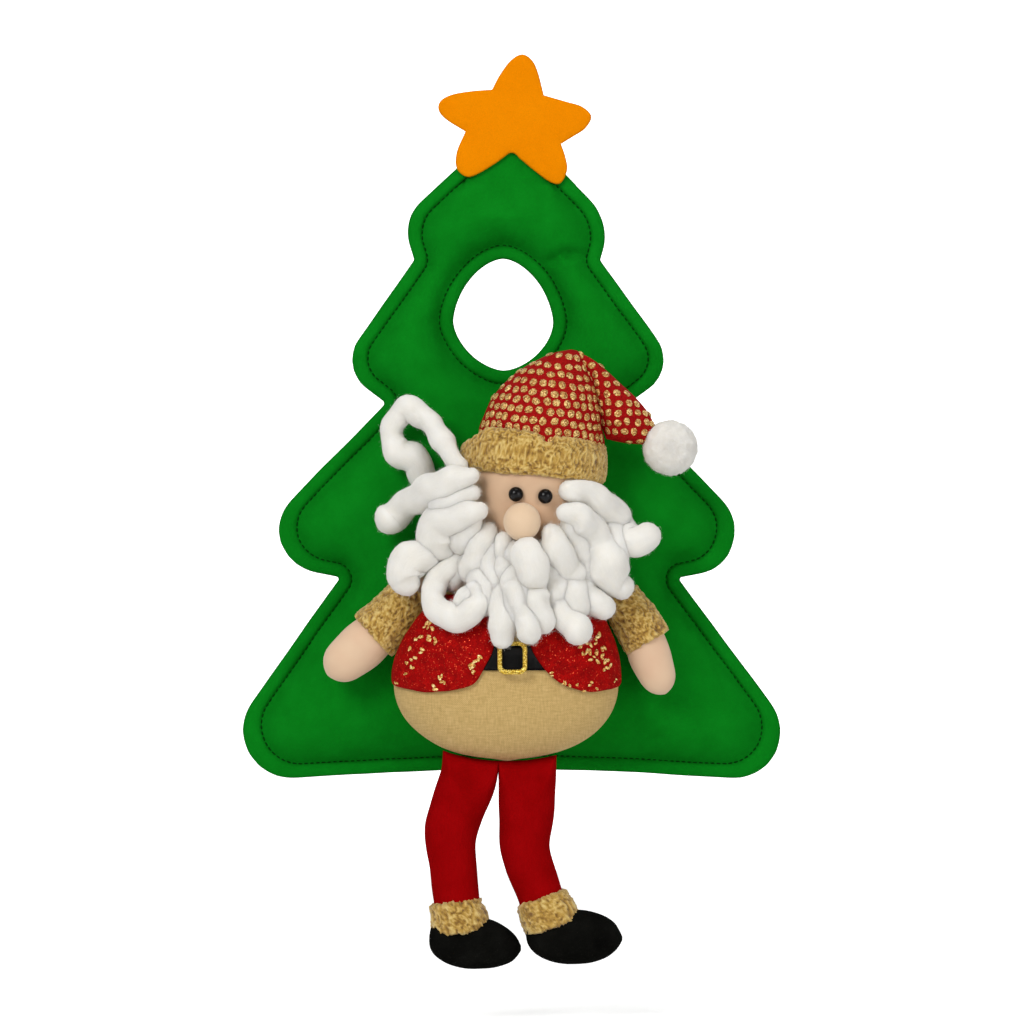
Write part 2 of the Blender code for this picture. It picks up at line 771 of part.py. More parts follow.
def build_star():
    """The flat star, leaning back against the top of the puffed tree."""
    corners = []
    for across, upward, fillet in STAR_CORNER_SHARES:
        corners.append((Vector((across, upward)) * STAR_WIDTH, fillet * STAR_WIDTH))
    outline = rounded_outline(corners, STAR_ARC_STEPS)
    sections = []
    for depth in (0.0, STAR_THICKNESS):
        sections.append([Vector((point.x, -depth, point.y)) for point in outline])
    shape = loft(sections)
    lean = Matrix.Rotation(-math.radians(STAR_LEAN_DEGREES), 4, 'X')
    place = Matrix.Translation((STAR_SIDE_SHIFT, 0.0, TREE_TOP_ABOVE_HOLE + STAR_ABOVE_TREE_TOP))
    bmesh.ops.transform(shape, matrix=place @ lean, verts=shape.verts[:])
    seat_back(shape, ("tree_front_felt", "tree_edge_stitching"), GAP)
    add_piece("star", shape, "orange_felt")


def power_pair(angle, roundness):
    """Cosine and sine of a rounded-square section."""
    power = 2 / roundness
    across = math.cos(angle)
    upward = math.sin(angle)
    return abs(across) ** power, math.copysign(abs(upward) ** power, upward)


def torso_point(rise, turn, grow):
    """A point on the torso, grown outward, at a rise angle and a turn from straight ahead."""
    roundness = TORSO_ROUNDNESS if rise < 0 else TORSO_TOP_ROUNDNESS
    share, upward = power_pair(rise, roundness)
    height = TORSO_UPPER_HEIGHT if rise > 0 else TORSO_LOWER_HEIGHT
    lean = NECK_LEAN * max(upward, 0.0) ** 2
    return Vector((
        TORSO_X + lean + (TORSO_WIDTH / 2 + grow) * share * math.sin(turn),
        TORSO_Y - (TORSO_FRONT_DEPTH + grow) * share * math.cos(turn),
        TORSO_Z + (height + grow) * upward))


def torso_rise(height):
    """The rise angle of a height above the torso's widest level."""
    if height < 0:
        share = min(-height / TORSO_LOWER_HEIGHT, 1.0)
        return -math.asin(share ** (TORSO_ROUNDNESS / 2))
    return math.asin(min(height / TORSO_UPPER_HEIGHT, 1.0))


def torso_sections(grow, top_degrees):
    """Rings of the torso from its bottom pole up to a rise angle, its back pressed flat."""
    sections = [[torso_point(-math.pi / 2, 0.0, grow)]]
    top = math.radians(top_degrees)
    for level in range(1, TORSO_LEVELS):
        rise = -math.pi / 2 + (top + math.pi / 2) * level / (TORSO_LEVELS - 1)
        ring = []
        for k in range(RING_SIDES):
            point = torso_point(rise, 2 * math.pi * k / RING_SIDES, grow)
            point.y = min(point.y, TREE_FRONT + grow)
            ring.append(point)
        sections.append(ring)
    return sections


def build_torso():
    """The torso's open cover, its filling, and a grown copy that cuts what rests on it."""
    outside = torso_sections(0.0, NECK_OPENING_DEGREES)
    lining = torso_sections(-TORSO_COVER, NECK_OPENING_DEGREES)
    add_piece("torso_cover", loft(lining + outside[::-1]), "burlap")
    opening = outside[-1]
    fill = torso_sections(-(TORSO_COVER + GAP + FACET_EASE), NECK_OPENING_DEGREES)
    middle = sum(opening, Vector()) / len(opening)
    fill.append([middle + Vector((0.0, 0.0, NECK_BULGE))])
    add_piece("torso_stuffing", loft(fill), "white_fill")


def grown_torso(grow):
    """A closed solid of the whole torso, grown outward."""
    sections = torso_sections(grow, NECK_OPENING_DEGREES)
    top = torso_point(math.pi / 2, 0.0, grow)
    sections.append([top])
    return loft(sections)


def band_patch(rows, inner, outer):
    """A curved patch on the torso: rows of (rise, turn) pairs, with an inner and outer growth."""
    shape = bmesh.new()
    layers = []
    for grow in (inner, outer):
        layer = []
        for row in rows:
            verts = []
            for rise, turn in row:
                point = torso_point(rise, turn, grow)
                point.y = min(point.y, TREE_FRONT - GAP - (outer - grow))
                verts.append(shape.verts.new(point))
            layer.append(verts)
        layers.append(layer)
    for layer in layers:
        for lower, upper in zip(layer, layer[1:]):
            for k in range(len(lower) - 1):
                shape.faces.new((lower[k], lower[k + 1], upper[k + 1], upper[k]))
    edges = []
    for layer in layers:
        rim = list(layer[0])
        rim += [row[-1] for row in layer[1:-1]]
        rim += list(reversed(layer[-1]))
        rim += [row[0] for row in reversed(layer[1:-1])]
        edges.append(rim)
    for k in range(len(edges[0])):
        after = (k + 1) % len(edges[0])
        shape.faces.new((edges[0][k], edges[0][after], edges[1][after], edges[1][k]))
    return shape


def build_belt():
    """The belt round the front of the torso, and the buckle frame on it."""
    turns = [
        2 * math.pi * k / RING_SIDES for k in range(-BELT_REACH_SIDES + 1, BELT_REACH_SIDES)]
    rows = []
    for share in BELT_ROW_SHARES:
        rise = torso_rise(BELT_LOW + (BELT_HIGH - BELT_LOW) * share)
        rows.append([(rise, turn) for turn in turns])
    inner = GAP + FACET_EASE
    add_piece("belt", band_patch(rows, inner, inner + BELT_THICKNESS), "black_vinyl")

    corner_places = []
    half_width = BUCKLE_WIDTH / 2
    half_height = BUCKLE_HEIGHT / 2
    for across, upward in ((1, 1), (1, -1), (-1, -1), (-1, 1)):
        corner_places.append((Vector((across * half_width, upward * half_height)), BUCKLE_CORNER))
    outer = rounded_outline(corner_places, STAR_ARC_STEPS)
    window = rounded_outline(inset_corners(corner_places, BUCKLE_BAR), STAR_ARC_STEPS)
    sections = []
    for line, depth in ((window, 0.0), (outer, 0.0), (outer, BUCKLE_THICKNESS),
                        (window, BUCKLE_THICKNESS)):
        sections.append([Vector((point.x, -depth, point.y)) for point in line])
    shape = loft(sections, closed=True)
    lean = Matrix.Rotation(-math.radians(BUCKLE_LEAN_DEGREES), 4, 'X')
    middle = TORSO_Z + (BELT_LOW + BELT_HIGH) / 2
    place = Matrix.Translation((TORSO_X + BUCKLE_SIDE_SHIFT, -TRACE_START / 2, middle))
    bmesh.ops.transform(shape, matrix=place @ lean, verts=shape.verts[:])
    seat_back(shape, ("belt", "torso_cover"), GAP)
    add_piece("belt_buckle", shape, "gold_metal")


def build_vest():
    """Two curved vest panels that lie over the belt."""
    inner = GAP + FACET_EASE + BELT_THICKNESS + GAP + FACET_EASE
    for name, table in (
            ("vest_left_panel", LEFT_VEST_SHARES), ("vest_right_panel", RIGHT_VEST_SHARES)):
        rows = []
        for level, inner_edge, outer_edge in table:
            row = []
            for column in range(VEST_COLUMNS):
                across = inner_edge + (outer_edge - inner_edge) * column / (VEST_COLUMNS - 1)
                bow = math.sin(math.pi * column / (VEST_COLUMNS - 1)) * (1 - level)
                height = level * VEST_HEIGHT - VEST_BOTTOM_DROP * (1 + bow) / 2
                row.append((torso_rise(height), math.asin(across)))
            rows.append(row)
        add_piece(name, band_patch(rows, inner, inner + VEST_THICKNESS), "red_glitter_cloth")


def head_section(height, grow):
    """Half width and front half depth of the grown head at a height."""
    reach = HEAD_UPPER_HEIGHT if height > HEAD_Z else HEAD_LOWER_HEIGHT
    share = math.sqrt(max(0.0, 1 - ((height - HEAD_Z) / (reach + grow)) ** 2))
    return (HEAD_WIDTH / 2 + grow) * share, (HEAD_FRONT_DEPTH + grow) * share


def head_sections(grow):
    """Poles and rings of the head, grown outward, its back pressed flat."""
    sections = [[Vector((HEAD_X, HEAD_Y, HEAD_Z - HEAD_LOWER_HEIGHT - grow))]]
    for level in range(1, HEAD_LEVELS):
        rise = math.pi * (level / HEAD_LEVELS - 1 / 2)
        reach = HEAD_UPPER_HEIGHT if rise > 0 else HEAD_LOWER_HEIGHT
        ring = []
        for k in range(RING_SIDES):
            turn = 2 * math.pi * k / RING_SIDES
            x = HEAD_X + (HEAD_WIDTH / 2 + grow) * math.cos(rise) * math.sin(turn)
            y = HEAD_Y - (HEAD_FRONT_DEPTH + grow) * math.cos(rise) * math.cos(turn)
            ring.append(Vector((
                x, min(y, HEAD_BACK + grow), HEAD_Z + (reach + grow) * math.sin(rise))))
        sections.append(ring)
    sections.append([Vector((HEAD_X, HEAD_Y, HEAD_Z + HEAD_UPPER_HEIGHT + grow))])
    return sections


def face_point(across, height):
    """A point on the face at a place across and up from the head's middle."""
    half_width, half_depth = head_section(HEAD_Z + height, 0.0)
    share = math.sqrt(1 - (across / half_width) ** 2)
    return Vector((HEAD_X + across, HEAD_Y - half_depth * share, HEAD_Z + height))


def build_head():
    """The head, its ball nose and its two bead eyes."""
    head = add_piece("head", loft(head_sections(0.0)), "skin_cloth")
    cut_away(head, add_cutter("torso_cutter", grown_torso(GAP)))
    head_cutter = add_cutter("head_cutter", loft(head_sections(GAP)))
    features = (
        ("nose", NOSE_SIDE_SHIFT, -NOSE_DROP, NOSE_RADIUS, NOSE_SINK_SHARE, "skin_cloth"),
        ("eye_left", EYE_SIDE_SHIFT - EYE_SPACING / 2, -EYE_DROP, EYE_RADIUS,
         EYE_SINK_SHARE, "black_bead"),
        ("eye_right", EYE_SIDE_SHIFT + EYE_SPACING / 2, -EYE_DROP, EYE_RADIUS,
         EYE_SINK_SHARE, "black_bead"))
    for name, across, height, radius, sink_share, material_name in features:
        centre = face_point(across, height) + BACKWARD * radius * (sink_share - 1 / 2)
        shape = loft(ball_sections(centre, radius, SMALL_SIDES, SMALL_SIDES // 2 + 1))
        cut_away(add_piece(name, shape, material_name), head_cutter)


def crown_ring(level_shares, inset, extra):
    """A ring of the hat at a level, inset for its inside or grown for what goes round it."""
    rise, shift, half = level_shares
    centre_x = HEAD_X + shift * HAT_WIDTH
    half_width = half * HAT_WIDTH - inset + extra
    half_depth = half * HAT_WIDTH * HAT_DEPTH_SHARE - inset + extra
    clear = GAP + FACET_EASE + HAT_FABRIC - inset + extra
    ring = []
    for k in range(RING_SIDES):
        turn = 2 * math.pi * k / RING_SIDES
        across = math.sin(turn)
        ahead = math.cos(turn)
        x = centre_x + half_width * across
        height = HEAD_Z + HAT_RIM_RISE + rise * HAT_HEIGHT
        height -= (x - centre_x) * HAT_TILT_SHARE * (1 - rise)
        y = HEAD_Y - half_depth * ahead
        head_half, head_depth = head_section(height, clear)
        if head_half > 0:
            head_x = HEAD_X + head_half * across
            head_y = HEAD_Y - head_depth * ahead
            x = max(x, head_x) if across > 0 else min(x, head_x)
            y = min(y, head_y) if ahead > 0 else max(y, head_y)
        ring.append(Vector((x, min(y, CROWN_BACK - inset + extra), height)))
    return ring


def build_hat():
    """The hat's crown over the head, and the fur band round its rim."""
    tip = Vector((
        HEAD_X + HAT_TIP_SHIFT_SHARE * HAT_WIDTH, HEAD_Y, HEAD_Z + HAT_RIM_RISE + HAT_HEIGHT))
    outside = [crown_ring(level, 0.0, 0.0) for level in HAT_LEVEL_SHARES] + [[tip]]
    lining = [crown_ring(level, HAT_FABRIC, 0.0) for level in HAT_LEVEL_SHARES]
    lining.append([tip - Vector((0.0, 0.0, HAT_FABRIC))])
    add_piece("hat_crown", loft(lining[::-1] + outside), "red_dotted_cloth")

    levels = HAT_LEVEL_SHARES[:BAND_LEVELS]
    ease = GAP + FACET_EASE
    inner = [crown_ring(level, 0.0, ease) for level in levels]
    outer = [
        crown_ring(level, 0.0, ease + BAND_THICKNESS * share)
        for level, share in zip(levels, BAND_THICKNESS_SHARES)]
    add_piece("hat_fur_band", loft(outer + inner[::-1], closed=True), "gold_fur")


def crease_x(height):
    """Right side of the hat's crown at a height."""
    rights = []
    for level in HAT_LEVEL_SHARES:
        ring = crown_ring(level, 0.0, 0.0)
        point = max(ring, key=lambda place: place.x)
        rights.append((point.z, point.x))
    for (low, x_low), (high, x_high) in zip(rights, rights[1:]):
        if low <= height <= high:
            return x_low + (x_high - x_low) * (height - low) / (high - low)
    return rights[-1][1] if height > rights[-1][0] else rights[0][1]


def build_hat_tail():
    """The folded-over end of the hat and its pompom, which lift together at the fold's top."""
    base_z = HEAD_Z + HAT_RIM_RISE
    top = base_z + TAIL_TOP_LEVEL_SHARE * HAT_HEIGHT
    low = base_z + TAIL_LOW_LEVEL_SHARE * HAT_HEIGHT
    middle = (top + low) / 2
    reach = (top - low) / 2
    sections = []
    for share in TAIL_CAP_SHARES:
        ring = []
        for k in range(SMALL_SIDES if share else 1):
            turn = 2 * math.pi * k / SMALL_SIDES
            height = middle + reach * share * math.cos(turn)
            ring.append(Vector((
                crease_x(height) + FACET_EASE + GAP,
                HEAD_Y + TAIL_DEPTH / 2 * share * math.sin(turn), height)))
        sections.append(ring)
    pivot = Vector((crease_x(top) + FACET_EASE, HEAD_Y, top))
    start = Vector((crease_x(middle), HEAD_Y, middle))
    previous = start
    for across, down, half_height, half_depth in TAIL_STATION_SHARES:
        centre = start + Vector((across, 0.0, -down)) * TAIL_LENGTH
        along = (centre - previous).normalized()
        upward = along.cross(BACKWARD)
        ring = []
        for k in range(SMALL_SIDES):
            turn = 2 * math.pi * k / SMALL_SIDES
            ring.append(
                centre - upward * half_height * TAIL_LENGTH * math.cos(turn)
                + BACKWARD * half_depth * TAIL_DEPTH / 2 * math.sin(turn))
        sections.append(ring)
        previous = centre
    add_piece("hat_tail", loft(sections), "red_dotted_cloth", pivot)
    tail = bpy.data.objects["hat_tail"]
    ball = previous + Vector((
        POMPOM_SIDE_SHARE * POMPOM_RADIUS, 0.0, -POMPOM_DROP_SHARE * POMPOM_RADIUS))
    cutter = add_cutter("pompom_cutter", loft(ball_sections(
        ball, POMPOM_RADIUS + GAP, SMALL_SIDES, SMALL_SIDES // 2 + 1)))
    cut_away(tail, cutter)
    add_piece("pompom", loft(ball_sections(
        ball, POMPOM_RADIUS, SMALL_SIDES, SMALL_SIDES // 2 + 1)), "white_wool", pivot)


def limb_ring(centre, along, half_width, half_depth):
    """A ring square to a limb that lies in a plane facing the viewer."""
    across = along.cross(BACKWARD).normalized()
    ring = []
    for k in range(SMALL_SIDES):
        turn = 2 * math.pi * k / SMALL_SIDES
        ring.append(
            centre + across * half_width * math.cos(turn)
            + BACKWARD * half_depth * math.sin(turn))
    return ring


def limb_stations(start, length, width, table, count):
    """Even stations (centre, direction, half width) on a smooth line through a limb's table."""
    points = [
        Vector((start.x + side * length, start.z - down * length, half * width))
        for side, down, half in table]
    total = sum((b - a).length for a, b in zip(points, points[1:]))
    line = smooth_route(points, total / count)
    stations = []
    for k, point in enumerate(line):
        before = line[max(k - 1, 0)]
        after = line[min(k + 1, len(line) - 1)]
        along = Vector((after.x - before.x, 0.0, after.y - before.y)).normalized()
        stations.append((Vector((point.x, start.y, point.y)), along, point.z))
    return stations


def arm_pieces(side, shoulder, table, lift):
    """Bmeshes of an arm and its sleeve, lifted sideways by an angle."""
    depth_ratio = ARM_DEPTH / ARM_WIDTH
    stations = limb_stations(shoulder, ARM_LENGTH, ARM_WIDTH, table, SLEEVE_STATIONS * 2)
    first, along, half = stations[0]
    last, end_along, end_half = stations[-1]
    slant = math.sqrt(1 / 2)
    arm = [[first - along * half]]
    arm.append(limb_ring(
        first - along * half * slant, along, half * slant, half * slant * depth_ratio))
    arm += [limb_ring(centre, line, size, size * depth_ratio) for centre, line, size in stations]
    arm.append(limb_ring(
        last + end_along * end_half * HAND_ROUND_SHARE, end_along, end_half * slant,
        end_half * slant * depth_ratio))
    arm.append([last + end_along * end_half * HAND_TIP_SHARE])
    worn = stations[:SLEEVE_STATIONS + 1]
    inner = [
        limb_ring(centre, line, size + GAP, size * depth_ratio + GAP)
        for centre, line, size in worn]
    thick = SLEEVE_THICKNESS + GAP
    outer = [
        limb_ring(centre, line, size + thick, size * depth_ratio + thick)
        for centre, line, size in worn]
    sleeve = inner + outer[::-1]
    turn = Matrix.Rotation(math.radians(lift * side), 4, 'Y')
    place = Matrix.Translation(shoulder) @ turn @ Matrix.Translation(-shoulder)
    shapes = []
    for sections, closed in ((arm, False), (sleeve, True)):
        shape = loft(sections, closed)
        bmesh.ops.transform(shape, matrix=place, verts=shape.verts[:])
        shapes.append(shape)
    return shapes


def beside_torso(side, depth, height, radius):
    """Place across where a ball that comes in from one side rests against the torso."""
    x = TORSO_X + side * TRACE_START
    room = radius
    while room > TRACE_STOP:
        spot = Vector((x, depth, height))
        room = surfaces["torso_cover"].find_nearest(spot)[3] - radius
        x -= side * room
    return x


def build_arms():
    """Both arms with their sleeves, and the surfaces that they sweep when lifted."""
    depth = TREE_FRONT - GAP - ARM_DEPTH / 2 - SLEEVE_THICKNESS
    for word, side, rise, table in (
            ("left", 1, LEFT_SHOULDER_RISE, LEFT_ARM_SHARES),
            ("right", -1, RIGHT_SHOULDER_RISE, RIGHT_ARM_SHARES)):
        radius = table[0][2] * ARM_WIDTH + GAP + SLEEVE_THICKNESS + GAP
        height = TORSO_Z + rise
        shoulder = Vector((beside_torso(-side, depth, height, radius), depth, height))
        arm, sleeve = arm_pieces(side, shoulder, table, 0.0)
        add_piece("arm_" + word, arm, "skin_cloth", shoulder)
        add_piece("sleeve_" + word, sleeve, "gold_fur", shoulder)
        for step in range(1, ARM_LIFT_STEPS + 1):
            lift = ARM_LIFT_DEGREES * step / ARM_LIFT_STEPS
            for kind, shape in zip(("arm", "sleeve"), arm_pieces(side, shoulder, table, lift)):
                name = "lifted_%s_%s_%d" % (kind, word, step)
                surfaces[name] = BVHTree.FromBMesh(shape)
                shape.free()


def belly_height(x):
    """Height of the torso's underside at a place across."""
    share = min(abs(x - TORSO_X) / (TORSO_WIDTH / 2), 1.0)
    return TORSO_Z - TORSO_LOWER_HEIGHT * (1 - share ** TORSO_ROUNDNESS) ** (1 / TORSO_ROUNDNESS)


def ease_hip(point, hip_z):
    """Draw a leg's point in toward the hip axis, so that the leg's top turns under the belly."""
    radius = max(belly_height(point.x) - hip_z - GAP - FACET_EASE, HIP_EDGE_RADIUS)
    ahead = point.y - TORSO_Y
    below = hip_z - point.z
    if below < 0:
        reach = math.hypot(ahead, below)
        if reach > radius:
            point.y = TORSO_Y + ahead * radius / reach
            point.z = hip_z - below * radius / reach
    else:
        limit = radius + below * math.tan(math.radians(HIP_WEDGE_DEGREES))
        point.y = TORSO_Y + min(max(ahead, -limit), limit)
    return point


def shoe_sections(centre, grow):
    """Rings of a shoe along its length, heel to toe."""
    sections = [[centre - Vector((SHOE_LENGTH / 2 + grow, 0.0, 0.0))]]
    for level in range(1, SHOE_LEVELS):
        rise = math.pi * (level / SHOE_LEVELS - 1 / 2)
        share, along = power_pair(rise, SHOE_ROUNDNESS)
        ring = []
        for k in range(SMALL_SIDES + 2):
            turn = 2 * math.pi * k / (SMALL_SIDES + 2)
            ring.append(centre + Vector((
                along * (SHOE_LENGTH / 2 + grow),
                share * (SHOE_DEPTH / 2 + grow) * math.sin(turn),
                share * (SHOE_HEIGHT / 2 + grow) * math.cos(turn))))
        sections.append(ring)
    sections.append([centre + Vector((SHOE_LENGTH / 2 + grow, 0.0, 0.0))])
    return sections


def build_legs():
    """Both legs with their shoes and fur cuffs, hinged under the belly."""
    hip_z = TORSO_Z - TORSO_LOWER_HEIGHT - HIP_EDGE_RADIUS - GAP - FACET_EASE
    for word, shift, table, shoe_shares in (
            ("left", LEFT_HIP_SHIFT, LEFT_LEG_SHARES, LEFT_SHOE_SHARES),
            ("right", RIGHT_HIP_SHIFT, RIGHT_LEG_SHARES, RIGHT_SHOE_SHARES)):
        hip = Vector((TORSO_X + shift, TORSO_Y, hip_z))
        side, down, half = table[0]
        heads = [
            (0.0, -HIP_TOP_SHARE, half), (0.0, -HIP_TOP_SHARE / 2, half),
            (0.0, 0.0, half), (side / 2, down / 2, half)]
        stations = limb_stations(hip, LEG_LENGTH, LEG_WIDTH, heads + list(table), LEG_STATIONS)
        depth_ratio = LEG_DEPTH / LEG_WIDTH
        top, top_line, top_size = stations[0]
        rings = [[ease_hip(top.copy(), hip_z)]]
        for share in HIP_CAP_SHARES:
            ring = limb_ring(top, top_line, top_size * share, top_size * share * depth_ratio)
            rings.append([ease_hip(point, hip_z) for point in ring])
        for centre, line, size in stations:
            ring = limb_ring(centre, line, size, size * depth_ratio)
            rings.append([ease_hip(point, hip_z) for point in ring])
        leg = add_piece("leg_" + word, loft(rings), "red_felt", hip)
        heel = hip + Vector((shoe_shares[0], 0.0, -shoe_shares[1])) * LEG_LENGTH
        add_piece("shoe_" + word, loft(shoe_sections(heel, 0.0)), "black_felt", hip)
        cutter = add_cutter("shoe_cutter_" + word, loft(shoe_sections(heel, GAP)))
        cut_away(leg, cutter)
        worn = [station for station in stations
                if hip_z - station[0].z > CUFF_TOP_SHARE * LEG_LENGTH]
        inner = [
            limb_ring(centre, line, size + GAP, size * depth_ratio + GAP)
            for centre, line, size in worn]
        thick = GAP + CUFF_THICKNESS
        outer = [
            limb_ring(centre, line, size + thick, size * depth_ratio + thick)
            for centre, line, size in worn]
        cuff = add_piece(
            "shoe_cuff_" + word, loft(inner + outer[::-1], closed=True), "gold_fur", hip)
        cut_away(cuff, cutter)


def settle(depths, step):
    """Ease a lock's depths so that it never dips steeply between what it lies on."""
    for order in (1, -1):
        depths = depths[::order]
        for k in range(1, len(depths)):
            depths[k] = min(depths[k], depths[k - 1] + LOCK_SLOPE * step)
        depths = depths[::order]
    for _ in range(LOCK_SETTLING):
        spread = [depths[0]] + depths + [depths[-1]]
        depths = [
            min(own, (before + after) / 2)
            for before, own, after in zip(spread, spread[1:], spread[2:])]
    return depths


def build_beard():
    """Wool locks, each laid on from the front over what is already there."""
    names = [name for name in surfaces if not name.startswith(("tree_back", "tree_stuffing"))]
    for name, (thickness_share, shares) in BEARD_ROUTE_SHARES.items():
        radius = LOCK_THICKNESS * thickness_share / 2
        points = [
            Vector((HEAD_X + across * BEARD_WIDTH, 0.0, HEAD_Z + upward * BEARD_WIDTH))
            for across, upward in shares]
        route = smooth_route(points, LOCK_SPACING)
        depths = [
            free_travel(point, radius + GAP, names, TREE_FRONT - radius) for point in route]
        for point, depth in zip(route, settle(depths, LOCK_SPACING)):
            point.y = depth
        travel = min(
            free_travel(spot, GAP, names, TREE_FRONT) - spot.y
            for section in tube_sections(route, radius, LOCK_SIDES) for spot in section)
        for point in route:
            point.y += max(travel, 0.0)
        for _ in range(LOCK_TRIES):
            shape = loft(tube_sections(route, radius, LOCK_SIDES))
            body = BVHTree.FromBMesh(shape)
            if not any(body.overlap(surfaces[other]) for other in names):
                break
            shape.free()
            for point in route:
                point.y -= GAP
        add_piece(name, shape, "white_wool")
        names.append(name)


clear_scene()
materials = {name: make_material(name) for name in COLOURS}
build_tree()
build_star()
build_torso()
build_belt()
build_vest()
build_head()
build_hat()
build_hat_tail()
build_arms()
build_legs()
build_beard()
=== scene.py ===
"""Looks of a stuffed felt Christmas tree door hanger with a soft doll on its front."""

import math
import random

import bmesh
import bpy
import numpy as np
from mathutils import Matrix, Vector, noise
from mathutils.bvhtree import BVHTree
from mathutils.geometry import delaunay_2d_cdt


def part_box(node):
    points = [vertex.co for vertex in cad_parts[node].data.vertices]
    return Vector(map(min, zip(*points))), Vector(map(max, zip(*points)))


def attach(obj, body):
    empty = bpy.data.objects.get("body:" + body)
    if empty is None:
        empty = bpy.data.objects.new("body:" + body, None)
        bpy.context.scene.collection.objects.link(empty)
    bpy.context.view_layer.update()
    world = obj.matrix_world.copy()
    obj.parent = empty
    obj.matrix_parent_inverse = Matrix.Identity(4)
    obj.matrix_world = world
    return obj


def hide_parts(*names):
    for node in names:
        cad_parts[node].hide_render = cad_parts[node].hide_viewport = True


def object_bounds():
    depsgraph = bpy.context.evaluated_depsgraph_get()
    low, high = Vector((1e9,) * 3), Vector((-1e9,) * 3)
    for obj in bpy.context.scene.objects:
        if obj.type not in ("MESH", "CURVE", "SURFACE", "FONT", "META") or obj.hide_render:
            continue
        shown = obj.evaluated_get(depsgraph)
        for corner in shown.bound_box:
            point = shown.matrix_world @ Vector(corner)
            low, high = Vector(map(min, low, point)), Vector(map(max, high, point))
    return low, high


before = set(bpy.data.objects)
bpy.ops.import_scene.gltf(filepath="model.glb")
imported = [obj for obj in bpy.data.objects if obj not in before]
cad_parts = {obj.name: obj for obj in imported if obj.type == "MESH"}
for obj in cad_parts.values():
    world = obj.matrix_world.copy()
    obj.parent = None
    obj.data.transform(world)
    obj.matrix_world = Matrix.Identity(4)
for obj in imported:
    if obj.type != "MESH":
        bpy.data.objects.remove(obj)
cad_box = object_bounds()

# The vector noise is shifted by a seed, fixed here so that each run gives the same shapes
NOISE_SEED = 1
noise.seed_set(NOISE_SEED)

# Noise: relief of a plain surface, the size of the warp's noise and the ridges' steepness
FLAT_RELIEF = 0.5
WARP_SCALE = 0.7
RIDGE_STEEPNESS = 2.2

# Photo frame: metres to a pixel, and the pixel of the model's origin
PIXEL = 0.00055
ORIGIN_PX = (503.5, 259.0)
IMAGE_PX = 1024
ROOT = "tree_and_doll"

# Rays cast at the object start here, in front of it, and go this way
FRONT_Y = -0.3
BACKWARD = Vector((0.0, 1.0, 0.0))

# Camera, stage and lights: place, size and power of each lamp
CAMERA_DISTANCE = 4.0
SENSOR = 0.036
FLOOR_Z = -0.415
FLOOR_GLOW = 0.55
STAGE_REACH = 6.0
BACKDROP_Y = 1.6
BACKDROP_ROUGHNESS = 0.5
KEY_LIGHT = ((-1.25, -2.3, 1.15), 1.1, 37)
FILL_LIGHT = ((1.6, -2.1, 0.1), 1.4, 18)
TOP_LIGHT = ((0.2, -0.4, 1.7), 0.9, 7)
WORLD_STRENGTH = 0.33

# Tree: corners of its right half from the apex down, as pixels across from its middle,
# pixel row and fillet pixels
FLANGE = 0.008
TREE_CENTRE_PX = 508
TREE_CORNERS_PX = (
    (0, 118, 23), (105.5, 220.5, 48), (94, 260, 3), (170, 368.5, 36), (122.6, 403, 3),
    (272.2, 558, 44), (169.8, 578, 2), (320.2, 784, 48), (0, 766, 2500),
)
HOLE_SIZE = (0.0545, 0.0345, 0.0265)
HOLE_ROUNDNESS = 1.7
HOLE_STEPS = 96
ARC_STEPS = 14
PUFF = 0.0276
FILLET_SHRINK = 0.7
TIER_SHIFT_PX = (
    (150, 215, 250, 355, 540, 580, 640, 760, 790), (0, -2.5, -1, 0, -1.5, 1.2, 1.8, 4.5, 4.5))
PUFF_REACH = 0.0125
CREASE_PX = ((549, 264), (556.5, 259), (564, 256), (572, 254), (584, 256))
CREASE = (0.8, 0.0017)
CREASE_SPACING = 0.0005
LUMP = 0.0014
LUMP_SCALE = 24
LUMP_SLICE = 0.3
WAVERS = ((16, 0.0006), (55, 0.0002))
GRID = 0.002
GRID_ROUNDS = 500
MERGE_DISTANCE = 1e-6
FELT_SPACING = 0.0042
FELT_MARGIN = 0.55
SEAM_FRONT = 0.0018
FLANGE_PROFILE = (
    (0.0076, 0.0028), (0.0070, 0.0038), (0.0056, 0.0043), (0.0036, 0.0043),
    (0.0017, 0.0037), (0.0005, 0.0026), (0.0001, 0.0015))
BACK_FELT = 0.0016
BACK_INSET = 0.0008
BACK_SPACING = 0.010
STITCH = (0.0030, 0.0010, 0.0002)
STITCH_STEPS = 4
STITCH_SIDES = 6
STITCH_CAPS = (50,)
STITCH_ARCH = 0.7
STITCH_LIFT = 0.2

# Star: each arm's inner corner and then the points round the arm, in pixels
STAR_LEAN_DEGREES = 3
STAR_THICKNESS = 0.003
STAR_GAP = 0.0003
STAR_SLOPE = 0.7
STAR_SPACING = 0.004
STAR_STEP_PX = 2.2
STAR_PROFILE = (
    (0.0009, 0.0), (0.0003, 0.0005), (0.0, 0.0015), (0.0003, 0.0026), (0.0010, STAR_THICKNESS))
STAR_ARMS_PX = (
    ((492, 90), ((500, 75), (510.5, 61), (522, 54.6), (532, 60.5), (538, 73))),
    ((543.8, 95.6), ((565, 101.7), (582, 107), (591.3, 117), (585, 129), (573, 137))),
    ((561, 144.4), ((565.5, 158), (567, 171), (560, 184), (549, 182), (534, 171))),
    ((519, 158.5), ((516.5, 155.5), (512.5, 153.3), (508.5, 154.2))),
    ((505, 157), ((494, 165), (476, 175.5), (465.5, 177), (456.5, 168), (457, 152))),
    ((465.5, 132), ((447, 120.5), (438.8, 111), (440.5, 101.5), (452, 95), (472, 91.5))),
)

